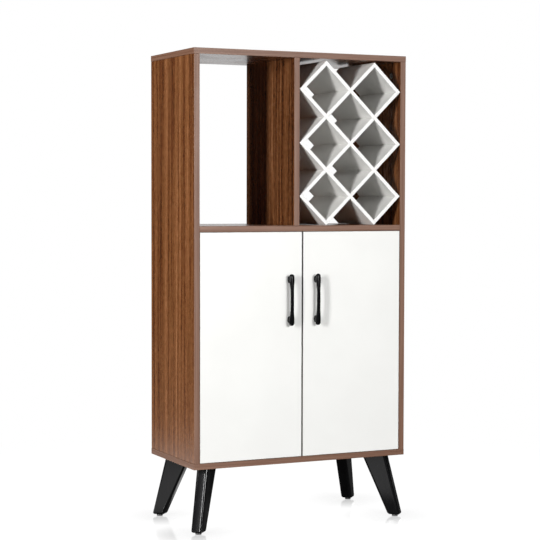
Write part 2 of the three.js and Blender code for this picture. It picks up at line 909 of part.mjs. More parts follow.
function legGroup(place) {
  const group = new THREE.Group();
  group.position.set(place.x, place.y, 0);
  group.rotation.z = place.heading;
  group.add(meshOf(`leg_${place.name}`, legGeometry(), blackPaint, new THREE.Vector3(0, 0, -seatGap)));
  const glideAt = new THREE.Vector3(legSplay, 0, -legHeight);
  group.add(meshOf(`leg_glide_${place.name}`, glideGeometry(), blackPlastic, glideAt));
  const boltAt = new THREE.Vector3(0, 0, floorTop);
  group.add(meshOf(`leg_bolt_${place.name}`, legBoltGeometry(), zinc, boltAt));
  return group;
}

// The cabinet
const body = new THREE.Group();
body.position.z = legHeight;
body.add(...carcassPanels(), ...camLocks(), ...shelfPins(), latticeRack());
for (const side of sides) {
  body.add(...hingeArms(side));
  body.add(doorGroup(side));
}
for (const place of legPlaces) body.add(legGroup(place));

const cabinet = new THREE.Group();
cabinet.add(body);
cabinet.updateMatrixWorld(true);
const reach = new THREE.Box3().setFromObject(cabinet, true);
body.position.y = -(reach.min.y + reach.max.y) / 2;

export default cabinet;
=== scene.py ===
"""The looks of a wine cabinet on splayed legs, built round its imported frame.

The walnut carcass holds an open display bay, a white lattice rack and a cupboard with two white
doors. Boards keep the frame's shapes and get eased edges, edge bands and grain. Handles, legs,
glides, hinges and fittings are modelled here at the frame's places. Metres, +Z up, front to -Y.
"""

import logging
import math
from dataclasses import dataclass, field, replace
from enum import Enum
from typing import Callable, Sequence

import bmesh
import bpy
from mathutils import Matrix, Vector


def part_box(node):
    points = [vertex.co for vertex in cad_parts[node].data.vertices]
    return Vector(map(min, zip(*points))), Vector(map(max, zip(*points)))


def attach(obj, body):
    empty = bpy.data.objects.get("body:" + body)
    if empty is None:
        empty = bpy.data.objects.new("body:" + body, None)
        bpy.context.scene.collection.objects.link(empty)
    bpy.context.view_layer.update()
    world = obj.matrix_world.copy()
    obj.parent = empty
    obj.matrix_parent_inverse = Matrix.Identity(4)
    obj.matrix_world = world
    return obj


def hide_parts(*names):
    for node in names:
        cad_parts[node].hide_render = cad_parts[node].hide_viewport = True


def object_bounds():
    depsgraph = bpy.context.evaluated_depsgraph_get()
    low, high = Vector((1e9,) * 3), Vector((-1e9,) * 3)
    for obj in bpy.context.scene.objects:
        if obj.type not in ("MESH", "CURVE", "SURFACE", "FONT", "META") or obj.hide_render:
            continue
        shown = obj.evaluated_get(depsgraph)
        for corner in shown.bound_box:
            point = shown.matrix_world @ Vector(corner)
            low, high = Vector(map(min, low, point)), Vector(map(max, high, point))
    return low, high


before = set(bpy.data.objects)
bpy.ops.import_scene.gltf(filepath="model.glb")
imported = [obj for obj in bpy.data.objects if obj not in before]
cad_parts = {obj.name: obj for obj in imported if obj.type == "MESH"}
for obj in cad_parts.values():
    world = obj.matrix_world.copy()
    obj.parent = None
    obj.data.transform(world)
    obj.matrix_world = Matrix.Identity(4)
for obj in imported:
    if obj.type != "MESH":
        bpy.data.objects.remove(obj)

log = logging.getLogger("wine_cabinet")

MM = 0.001
HAIR = 0.1 * MM
QUARTER_TURN = math.pi / 2.0
SIDES = {"left": -1.0, "right": 1.0}
ENDS = {"front": -1.0, "back": 1.0}
LEVELS = {"upper": 1.0, "lower": -1.0}
CARCASS = "carcass"

Pair = tuple[float, float]
Triple = tuple[float, float, float]
Colour = tuple[float, float, float]
Socket = bpy.types.NodeSocket
Piece = bpy.types.Object

WHITE: Colour = (1.0, 1.0, 1.0)


def cleared_bounds() -> tuple[Vector, Vector]:
    """Remove a new file's own cube, lamp and camera, and return the frame's box."""
    for name in ("Cube", "Light", "Camera"):
        spare = bpy.data.objects.get(name)
        if spare is not None:
            bpy.data.objects.remove(spare)
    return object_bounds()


FRAME_LOW, FRAME_HIGH = cleared_bounds()


class Axis(Enum):
    """One of the part's axes, as an index into a vector."""

    X = 0
    Y = 1
    Z = 2


def mm(*lengths: float) -> tuple[float, ...]:
    """Turn millimetres into metres."""
    return tuple(length * MM for length in lengths)


def grey(value: float) -> Colour:
    """Return the grey of a linear value."""
    return value, value, value


def srgb(red: float, green: float, blue: float) -> Colour:
    """Turn a colour seen on a screen into the linear values that a shader takes.

    Args:
        red: Red from 0 to 255.
        green: Green from 0 to 255.
        blue: Blue from 0 to 255.

    Returns:
        The three linear values from 0 to 1.
    """

    def linear(value: float) -> float:
        """Return the linear value of one channel."""
        share = value / 255.0
        return share / 12.92 if share <= 0.04045 else ((share + 0.055) / 1.055) ** 2.4

    return linear(red), linear(green), linear(blue)


def centre_of(node: str) -> Vector:
    """Return the middle of a frame node's box."""
    low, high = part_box(node)
    return (low + high) / 2.0


def limits(node: str) -> dict[str, Triple]:
    """Return the low and high corners of a frame node's box, named as a finish takes them."""
    low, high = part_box(node)
    return {"low": tuple(low), "high": tuple(high)}


def inner_face(side: str) -> float:
    """Return where a side panel's inner face lies along X."""
    low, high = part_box(f"{side}_side_panel")
    return high.x if side == "left" else low.x


def moved(x: float = 0.0, y: float = 0.0, z: float = 0.0) -> Matrix:
    """Return the matrix that moves a shape."""
    return Matrix.Translation((x, y, z))


def mirrored(side: str) -> Matrix:
    """Return the matrix that turns a left-hand shape into one for the side."""
    return Matrix.Scale(-SIDES[side], 4, (1.0, 0.0, 0.0))


# Node trees


class Graph:
    """A short way to lay out a node tree, for a material or for a group."""

    def __init__(self, tree: bpy.types.NodeTree) -> None:
        """Keep the tree that the nodes go into."""
        self.tree = tree

    def add(self, kind: str, **settings: object) -> bpy.types.Node:
        """Add a node.

        Args:
            kind: The node's type name.
            **settings: Properties to set on the node.

        Returns:
            The new node.
        """
        node = self.tree.nodes.new(kind)
        for name, value in settings.items():
            setattr(node, name, value)
        return node

    def feed(self, socket: Socket, value: object) -> None:
        """Link an output to a socket, or set the socket to a plain value."""
        if isinstance(value, Socket):
            self.tree.links.new(value, socket)
        elif socket.type == "RGBA":
            socket.default_value = (*value, 1.0)
        else:
            socket.default_value = value

    def feed_all(self, node: bpy.types.Node, *values: object) -> bpy.types.Node:
        """Feed a node's inputs in their order and return the node."""
        for socket, value in zip(node.inputs, values):
            self.feed(socket, value)
        return node

    def wire(self, node: bpy.types.Node, **inputs: object) -> bpy.types.Node:
        """Feed a node's inputs by name, with underscores for spaces, and return the node."""
        for name, value in inputs.items():
            self.feed(node.inputs[name.replace("_", " ")], value)
        return node

    def maths(self, operation: str, *values: object, clamp: bool = False) -> Socket:
        """Return the result of a Math node on the values."""
        node = self.add("ShaderNodeMath", operation=operation, use_clamp=clamp)
        return self.feed_all(node, *values).outputs[0]

    def vector_maths(self, operation: str, *values: object) -> Socket:
        """Return the result of a Vector Math node, a number for a length or a distance."""
        node = self.feed_all(self.add("ShaderNodeVectorMath", operation=operation), *values)
        return node.outputs["Value" if operation in ("LENGTH", "DISTANCE") else "Vector"]

    def spread(self, value: object, low: float, high: float, smooth: bool = True) -> Socket:
        """Return how far a value lies from low to high, held between 0 and 1."""
        kind = "SMOOTHSTEP" if smooth else "LINEAR"
        node = self.add("ShaderNodeMapRange", interpolation_type=kind)
        return self.wire(node, Value=value, From_Min=low, From_Max=high).outputs[0]

    def rest(self, share: object) -> Socket:
        """Return what a share leaves of one."""
        return self.maths("SUBTRACT", 1.0, share)

    def between(self, factor: object, first: object, second: object) -> Socket:
        """Return the number that lies factor of the way from first to second."""
        node = self.add("ShaderNodeMix", data_type="FLOAT")
        for place, value in zip((0, 2, 3), (factor, first, second)):
            self.feed(node.inputs[place], value)
        return node.outputs[0]

    def blend(self, factor: object, first: object, second: object) -> Socket:
        """Return two colours mixed by a factor."""
        node = self.add("ShaderNodeMix", data_type="RGBA")
        for place, value in zip((0, 6, 7), (factor, first, second)):
            self.feed(node.inputs[place], value)
        return node.outputs[2]

    def laid(self, mask: object, share: float, under: object, over: object) -> Socket:
        """Return a colour with a share of another laid over it where a mask says."""
        return self.blend(self.maths("MULTIPLY", mask, share), under, over)

    def mix(self, factor: object, first: object, second: object) -> Socket:
        """Return two shaders mixed by a factor."""
        return self.feed_all(self.add("ShaderNodeMixShader"), factor, first, second).outputs[0]

    def noise(self, vector: object, scale: float, detail: float = 2.0, warp: float = 0.0) -> Socket:
        """Return the value of a Noise texture."""
        node = self.add("ShaderNodeTexNoise")
        return self.wire(
            node, Vector=vector, Scale=scale, Detail=detail, Distortion=warp
        ).outputs["Fac"]

    def ramp(self, factor: object, stops: Sequence[tuple[float, Colour]]) -> Socket:
        """Return the colour of a Color Ramp with the given stops."""
        node = self.add("ShaderNodeValToRGB")
        self.feed(node.inputs[0], factor)
        elements = node.color_ramp.elements
        while len(elements) < len(stops):
            elements.new(1.0)
        for element, (place, colour) in zip(elements, stops):
            element.position = place
            element.color = (*colour, 1.0)
        return node.outputs[0]

    def place(self) -> Socket:
        """Return the part's own coordinates at the shaded point."""
        return self.add("ShaderNodeTexCoord").outputs["Object"]

    def parts_of(self, vector: object) -> tuple[Socket, ...]:
        """Return the X, Y and Z of a vector."""
        return tuple(self.feed_all(self.add("ShaderNodeSeparateXYZ"), vector).outputs)

    def vector(self, *parts: object) -> Socket:
        """Return the vector with the given X, Y and Z."""
        return self.feed_all(self.add("ShaderNodeCombineXYZ"), *parts).outputs[0]

    def group(self, tree: bpy.types.NodeTree, **inputs: object) -> bpy.types.bpy_prop_collection:
        """Place a node group.

        Args:
            tree: The group to place.
            **inputs: Values for its inputs, with underscores for spaces.

        Returns:
            The group's outputs.
        """
        return self.wire(self.add("ShaderNodeGroup", node_tree=tree), **inputs).outputs

    def bump(self, height: object, strength: float, distance: float) -> Socket:
        """Return a normal that a height has roughened."""
        node = self.add("ShaderNodeBump")
        return self.wire(node, Height=height, Strength=strength, Distance=distance).outputs["Normal"]


FLOAT = "NodeSocketFloat"
VECTOR = "NodeSocketVector"


def new_group(
    name: str, inputs: dict[str, str], results: Sequence[str]
) -> tuple[Graph, dict[str, Socket], dict[str, Socket]]:
    """Start a node group.

    Args:
        name: The group's name.
        inputs: Socket type of each input, by name.
        results: Names of its outputs, which are all numbers.

    Returns:
        The group's graph, its input sockets by name and its output sockets by name.
    """
    tree = bpy.data.node_groups.new(name, "ShaderNodeTree")
    for label, kind in inputs.items():
        tree.interface.new_socket(label, in_out="INPUT", socket_type=kind)
    for label in results:
        tree.interface.new_socket(label, in_out="OUTPUT", socket_type=FLOAT)
    graph = Graph(tree)
    given = graph.add("NodeGroupInput").outputs
    result = graph.add("NodeGroupOutput").inputs
    return graph, {n: given[n] for n in inputs}, {n: result[n] for n in results}


@dataclass(frozen=True)
class Layer:
    """One layer of the wood's figure: its scale across and along the grain and its detail."""

    across: float
    along: float
    detail: float


LAYERS = {
    "Figure": Layer(70.0, 0.4, 3.0),
    "Streaks": Layer(170.0, 2.0, 3.0),
    "Fibres": Layer(330.0, 22.0, 3.0),
    "Flecks": Layer(210.0, 85.0, 2.0),
    "Pores": Layer(900.0, 36.0, 1.0),
}


def grain_group() -> bpy.types.NodeTree:
    """Build the wood figure: broad bands, streaks, fine fibres, flecks and short dark pores.

    Returns:
        A group whose Place input runs along the grain in Z.
    """
    graph, given, result = new_group("wood grain", {"Place": VECTOR}, tuple(LAYERS))
    bend = Layer(6.0, 1.4, 1.0)
    bend_width = 0.016
    pore_edges = (0.63, 0.72)

    def drawn(place: Socket, layer: Layer) -> Socket:
        """Return a noise drawn out along the grain."""
        scale = (layer.across, layer.across, layer.along)
        return graph.noise(graph.vector_maths("MULTIPLY", place, scale), 1.0, layer.detail)

    sway = graph.maths("SUBTRACT", drawn(given["Place"], bend), 0.5)
    shift = graph.maths("MULTIPLY", sway, bend_width)
    swayed = graph.vector_maths("ADD", given["Place"], graph.vector(shift, shift))
    for name, layer in LAYERS.items():
        value = drawn(swayed, layer)
        graph.feed(result[name], graph.spread(value, *pore_edges) if name == "Pores" else value)
    return graph.tree


def band_group() -> bpy.types.NodeTree:
    """Build the mask of a board's edge bands.

    Returns:
        A group that puts out 1 within the band's thickness of a banded edge of the board, and a
        thin line where the band meets the face.
    """
    inputs = {"Place": VECTOR, "Low": VECTOR, "High": VECTOR, "Banded": VECTOR, "Thickness": FLOAT}
    graph, given, result = new_group("edge band", inputs, ("Band", "Joint"))
    joint_edges = (0.05, 0.3)
    from_low = graph.parts_of(graph.vector_maths("SUBTRACT", given["Place"], given["Low"]))
    from_high = graph.parts_of(graph.vector_maths("SUBTRACT", given["High"], given["Place"]))
    nearest: object = 1.0
    for low, high, wanted in zip(from_low, from_high, graph.parts_of(given["Banded"])):
        edge = graph.maths("MINIMUM", low, high)
        nearest = graph.maths("MINIMUM", nearest, graph.maths("ADD", edge, graph.rest(wanted)))
    inside = graph.maths("DIVIDE", nearest, given["Thickness"])
    graph.feed(result["Band"], graph.maths("LESS_THAN", inside, 1.0))
    off = graph.maths("ABSOLUTE", graph.maths("SUBTRACT", inside, 1.0))
    graph.feed(result["Joint"], graph.rest(graph.spread(off, *joint_edges)))
    return graph.tree


def handling_group() -> bpy.types.NodeTree:
    """Build the traces of use that every smooth finish shares.

    Returns:
        A group with soft smudges, faint dust and the slight waviness of a coated board.
    """
    graph, given, result = new_group(
        "handling", {"Place": VECTOR}, ("Smudges", "Dust", "Waviness")
    )
    cloud_scale, speck_scale, patch_scale, wave_scale = 9.0, 900.0, 14.0, 420.0
    smudge_edges, speck_edges, patch_edges = (0.42, 0.68), (0.64, 0.8), (0.4, 0.7)
    place = given["Place"]
    cloud = graph.noise(place, cloud_scale, 4.0, 0.6)
    graph.feed(result["Smudges"], graph.spread(cloud, *smudge_edges))
    speck = graph.spread(graph.noise(place, speck_scale), *speck_edges)
    patch = graph.spread(graph.noise(place, patch_scale), *patch_edges)
    graph.feed(result["Dust"], graph.maths("MULTIPLY", speck, patch))
    graph.feed(result["Waviness"], graph.noise(place, wave_scale))
    return graph.tree


class Groups:
    """The shared effects, built once."""

    grain = grain_group()
    band = band_group()
    handling = handling_group()


def band_masks(
    graph: Graph, place: Socket, board: "Walnut | Coated"
) -> bpy.types.bpy_prop_collection:
    """Return the masks of a board's edge bands, as its finish describes them."""
    return graph.group(
        Groups.band,
        Place=place,
        Low=board.low,
        High=board.high,
        Banded=board.banded,
        Thickness=board.band_thickness,
    )


# Finishes


@dataclass(frozen=True)
class Finish:
    """What every finish has: a name, the record's slot for it and the surface's roughness."""

    name: str
    slot: str
    roughness: float

    def start(self) -> tuple[Graph, bpy.types.Node, Socket]:
        """Make an empty material.

        Returns:
            Its graph, its Principled node and the place of the shaded point.
        """
        material = bpy.data.materials.new(self.name)
        material.use_nodes = True
        graph = Graph(material.node_tree)
        return graph, material.node_tree.nodes["Principled BSDF"], graph.place()

    def material(self) -> bpy.types.Material:
        """Return the finish as a material, built the first time it is asked for."""
        known = bpy.data.materials.get(self.name)
        if known is None:
            self.paint()
            known = bpy.data.materials[self.name]
        return known

    def paint(self) -> None:
        """Build the material's nodes."""
        raise NotImplementedError


@dataclass(frozen=True)
class Walnut(Finish):
    """Walnut laminate on a board whose edges carry a thin band.

    The grain runs along one axis on the faces and along the edge on the bands.
    """

    low: Triple
    high: Triple
    grain: Axis
    banded: Triple
    band_thickness: float = 0.7 * MM
    weights: tuple[tuple[str, float], ...] = (
        ("Figure", 1.5), ("Streaks", 1.1), ("Fibres", 0.6), ("Flecks", 0.6)
    )
    tones: Pair = (1.48, 2.32)
    tone_shares: tuple[float, ...] = (0.0, 0.28, 0.48, 0.7, 1.0)
    dark: Colour = srgb(66, 35, 16)
    red: Colour = srgb(106, 59, 30)
    plain: Colour = srgb(121, 78, 44)
    light: Colour = srgb(137, 86, 51)
    pale: Colour = srgb(164, 113, 76)
    band_dark: Colour = srgb(110, 75, 56)
    band_light: Colour = srgb(137, 102, 83)
    band_across: float = 380.0
    band_along: float = 4.0
    band_edges: Pair = (0.3, 0.75)
    band_roughness: float = 0.2
    pore_share: float = 0.5
    joint_share: float = 0.45
    dust_share: float = 0.06
    dust: Colour = (0.6, 0.58, 0.55)

    def along_z(self, graph: Graph, place: Socket) -> Socket:
        """Return the place with the grain's axis put last."""
        if self.grain is Axis.Z:
            return place
        x, y, z = graph.parts_of(place)
        return graph.vector(z, y, x) if self.grain is Axis.X else graph.vector(x, z, y)

    def face(self, graph: Graph, wood: bpy.types.bpy_prop_collection) -> Socket:
        """Return the colour of the figured faces."""
        figure: object = 0.0
        for layer, weight in self.weights:
            figure = graph.maths("MULTIPLY_ADD", wood[layer], weight, figure)
        tone = graph.spread(figure, *self.tones, smooth=False)
        colours = (self.dark, self.red, self.plain, self.light, self.pale)
        face = graph.ramp(tone, list(zip(self.tone_shares, colours)))
        return graph.laid(wood["Pores"], self.pore_share, face, self.dark)

    def edge(self, graph: Graph, place: Socket) -> Socket:
        """Return the colour of the edge bands."""
        across, along = self.band_across, self.band_along
        scale = (across, across, along) if self.grain is Axis.Z else (along, along, across)
        grain = graph.noise(graph.vector_maths("MULTIPLY", place, scale), 1.0, 3.0)
        return graph.blend(graph.spread(grain, *self.band_edges), self.band_dark, self.band_light)

    def paint(self) -> None:
        """Build the material's nodes."""
        graph, shader, place = self.start()
        wood = graph.group(Groups.grain, Place=self.along_z(graph, place))
        mask = band_masks(graph, place, self)
        use = graph.group(Groups.handling, Place=place)
        colour = graph.blend(mask["Band"], self.face(graph, wood), self.edge(graph, place))
        colour = graph.laid(mask["Joint"], self.joint_share, colour, self.dark)
        colour = graph.laid(use["Dust"], self.dust_share, colour, self.dust)
        worn = graph.maths("MULTIPLY_ADD", use["Smudges"], 0.06, self.roughness)
        worn = graph.maths("MULTIPLY_ADD", wood["Fibres"], 0.1, worn)
        worn = graph.maths("MULTIPLY_ADD", mask["Band"], self.band_roughness, worn)
        relief = graph.maths("MULTIPLY_ADD", wood["Pores"], -0.7, wood["Fibres"])
        relief = graph.maths("MULTIPLY_ADD", mask["Joint"], -0.6, relief)
        normal = graph.bump(relief, 0.25, 0.12 * MM)
        graph.wire(shader, Base_Color=colour, Roughness=worn, Normal=normal)


@dataclass(frozen=True)
class Coated(Finish):
    """A smooth coating, such as lacquer, laminate, paint or moulded plastic.

    Where low and high give the board's box, its banded edges take the band colour: painted shade on
    doors, painted light on the rack.
    """

    colour: Colour
    second: Colour
    dust_share: float
    waviness: float = 0.1
    specular: float = 0.5
    low: Triple | None = None
    high: Triple | None = None
    banded: Triple = (1.0, 0.0, 1.0)
    # Painted shade: the doors' side, top and bottom edges are grey so that the gaps round the doors
    # read dark.
    band: Colour = srgb(168, 167, 163)
    band_thickness: float = 0.4 * MM
    drift_scale: float = 5.0
    drift_edges: Pair = (0.35, 0.65)
    dust: Colour = (0.45, 0.44, 0.42)

    def paint(self) -> None:
        """Build the material's nodes."""
        graph, shader, place = self.start()
        use = graph.group(Groups.handling, Place=place)
        drift = graph.spread(graph.noise(place, self.drift_scale, 3.0), *self.drift_edges)
        colour = graph.blend(drift, self.colour, self.second)
        if self.low is not None:
            # The banded edges take the band colour, painted shade on the doors and painted light on the
            # rack.
            colour = graph.blend(band_masks(graph, place, self)["Band"], colour, self.band)
        graph.wire(
            shader,
            Base_Color=graph.laid(use["Dust"], self.dust_share, colour, self.dust),
            Roughness=graph.maths("MULTIPLY_ADD", use["Smudges"], 0.05, self.roughness),
            Specular_IOR_Level=self.specular,
            Normal=graph.bump(use["Waviness"], self.waviness, 0.05 * MM),
        )


@dataclass(frozen=True)
class PaintedWood(Finish):
    """Paint over solid wood: the grain still shows faintly through it."""

    colour: Colour
    rubbed: Colour
    rubbed_edges: Pair = (0.4, 0.8)
    rubbed_share: float = 0.35
    specular: float = 0.33
    dust_share: float = 0.05
    dust: Colour = grey(0.3)

    def paint(self) -> None:
        """Build the material's nodes."""
        graph, shader, place = self.start()
        wood = graph.group(Groups.grain, Place=place)
        use = graph.group(Groups.handling, Place=place)
        streaks = graph.spread(wood["Streaks"], *self.rubbed_edges)
        colour = graph.laid(streaks, self.rubbed_share, self.colour, self.rubbed)
        relief = graph.maths("MULTIPLY_ADD", wood["Fibres"], 0.6, use["Waviness"])
        graph.wire(
            shader,
            Base_Color=graph.laid(use["Dust"], self.dust_share, colour, self.dust),
            Roughness=graph.maths("MULTIPLY_ADD", use["Smudges"], 0.04, self.roughness),
            Specular_IOR_Level=self.specular,
            Normal=graph.bump(relief, 0.2, 0.1 * MM),
        )


@dataclass(frozen=True)
class Plated(Finish):
    """Plated or cast metal, with brush marks along one axis and dull patches."""

    colour: Colour
    dull: Colour
    brushed: Axis
    mark_across: float = 1800.0
    mark_along: float = 60.0
    dull_edges: Pair = (0.2, 1.0)

    def paint(self) -> None:
        """Build the material's nodes."""
        graph, shader, place = self.start()
        use = graph.group(Groups.handling, Place=place)
        scale = tuple(self.mark_along if axis is self.brushed else self.mark_across for axis in Axis)
        marks = graph.noise(graph.vector_maths("MULTIPLY", place, scale), 1.0)
        rough = graph.maths("MULTIPLY_ADD", marks, 0.14, self.roughness)
        dulled = graph.spread(use["Smudges"], *self.dull_edges)
        graph.wire(
            shader,
            Base_Color=graph.blend(dulled, self.colour, self.dull),
            Metallic=1.0,
            Roughness=graph.maths("MULTIPLY_ADD", use["Smudges"], 0.1, rough),
            Normal=graph.bump(marks, 0.12, 0.03 * MM),
        )


@dataclass(frozen=True)
class Hardboard(Finish):
    """A thin back panel: printed walnut towards the cupboard, bare pressed fibre behind."""

    front: float
    print_depth: float = 1.0 * MM
    print_edges: Pair = (0.7, 1.3)
    print_dark: Colour = srgb(84, 50, 30)
    print_light: Colour = srgb(132, 88, 58)
    fibre_scale: float = 260.0
    fibre_edges: Pair = (0.3, 0.7)
    fibre_dark: Colour = srgb(96, 70, 48)
    fibre_light: Colour = srgb(138, 106, 76)
    fibre_roughness: float = 0.85

    def paint(self) -> None:
        """Build the material's nodes."""
        graph, shader, place = self.start()
        wood = graph.group(Groups.grain, Place=place)
        tone = graph.maths("ADD", wood["Streaks"], wood["Figure"])
        tone = graph.spread(tone, *self.print_edges, smooth=False)
        printed = graph.blend(tone, self.print_dark, self.print_light)
        felt = graph.noise(place, self.fibre_scale, 5.0, 0.8)
        fibre = graph.spread(felt, *self.fibre_edges)
        fibre = graph.blend(fibre, self.fibre_dark, self.fibre_light)
        depth = graph.parts_of(place)[Axis.Y.value]
        behind = graph.maths("GREATER_THAN", depth, self.front + self.print_depth)
        graph.wire(
            shader,
            Base_Color=graph.blend(behind, printed, fibre),
            Roughness=graph.between(behind, self.roughness, self.fibre_roughness),
            Normal=graph.bump(felt, 0.25, 0.2 * MM),
        )


WHITE_LACQUER = Coated(
    "white lacquer",
    "white_lacquer",
    roughness=0.3,
    colour=srgb(245, 245, 242),
    second=srgb(248, 248, 245),
    waviness=0.06,
    dust_share=0.03,
)
# Painted light: the rack's front and back edges are a brighter white than its faces, so the lit front
# edges stand out from the shaded cells.
WHITE_BOARD = Coated(
    "white board",
    "white_board",
    roughness=0.55,
    colour=srgb(233, 232, 229),
    second=srgb(237, 236, 233),
    dust_share=0.03,
    specular=0.1,
    banded=(0.0, 1.0, 0.0),
    band=srgb(248, 247, 245),
)
BLACK_PAINT = PaintedWood(
    "black paint", "black_paint", 0.1, colour=(0.005, 0.005, 0.0055), rubbed=(0.012, 0.012, 0.013)
)
BLACK_GLOSS = Coated(
    "black gloss",
    "black_gloss",
    roughness=0.14,
    colour=(0.003, 0.003, 0.0035),
    second=(0.005, 0.005, 0.0055),
    waviness=0.03,
    dust_share=0.02,
    specular=0.14,
)
# Painted reflection: the glides are a mid grey, lighter than black plastic, in place of the reflections
# they show.
BLACK_PLASTIC_PAINTED_SHEEN = Coated(
    "black plastic",
    "black_plastic",
    roughness=0.42,
    colour=grey(0.1),
    second=grey(0.16),
    waviness=0.35,
    dust_share=0.1,
)
NICKEL = Plated("nickel", "nickel", 0.2, (0.62, 0.6, 0.56), (0.45, 0.44, 0.41), Axis.Y)
ZINC = Plated("zinc", "zinc", 0.36, (0.42, 0.42, 0.41), (0.28, 0.28, 0.27), Axis.Z)


# Modelling


FaceTest = Callable[[bmesh.types.BMFace], bool]
EdgeTest = Callable[[bmesh.types.BMEdge], bool]


def above(level: float) -> EdgeTest:
    """Return a test for edges that lie above a level, or less than a hair below it."""
    return lambda edge: all(vertex.co.z > level - HAIR for vertex in edge.verts)


def below(level: float) -> EdgeTest:
    """Return a test for edges that lie below a level, or less than a hair above it."""
    return lambda edge: all(vertex.co.z < level + HAIR for vertex in edge.verts)


def along(axis: Axis) -> EdgeTest:
    """Return a test for edges that reach further than a hair along an axis."""
    return lambda edge: abs((edge.verts[0].co - edge.verts[1].co)[axis.value]) > HAIR


def facing(axis: Axis, sign: float) -> FaceTest:
    """Return a test for faces that look along an axis, with a sign for the way."""
    nearly_square = 0.99
    return lambda face: sign * face.normal[axis.value] > nearly_square


@dataclass(frozen=True)
class Station:
    """A cross-section on a grown form: its middle and its two widths."""

    middle: Triple
    width: float
    depth: float

    @staticmethod
    def disc(level: float, diameter: float) -> "Station":
        """Return a round cross-section on the Z axis."""
        return Station((0.0, 0.0, level), diameter, diameter)


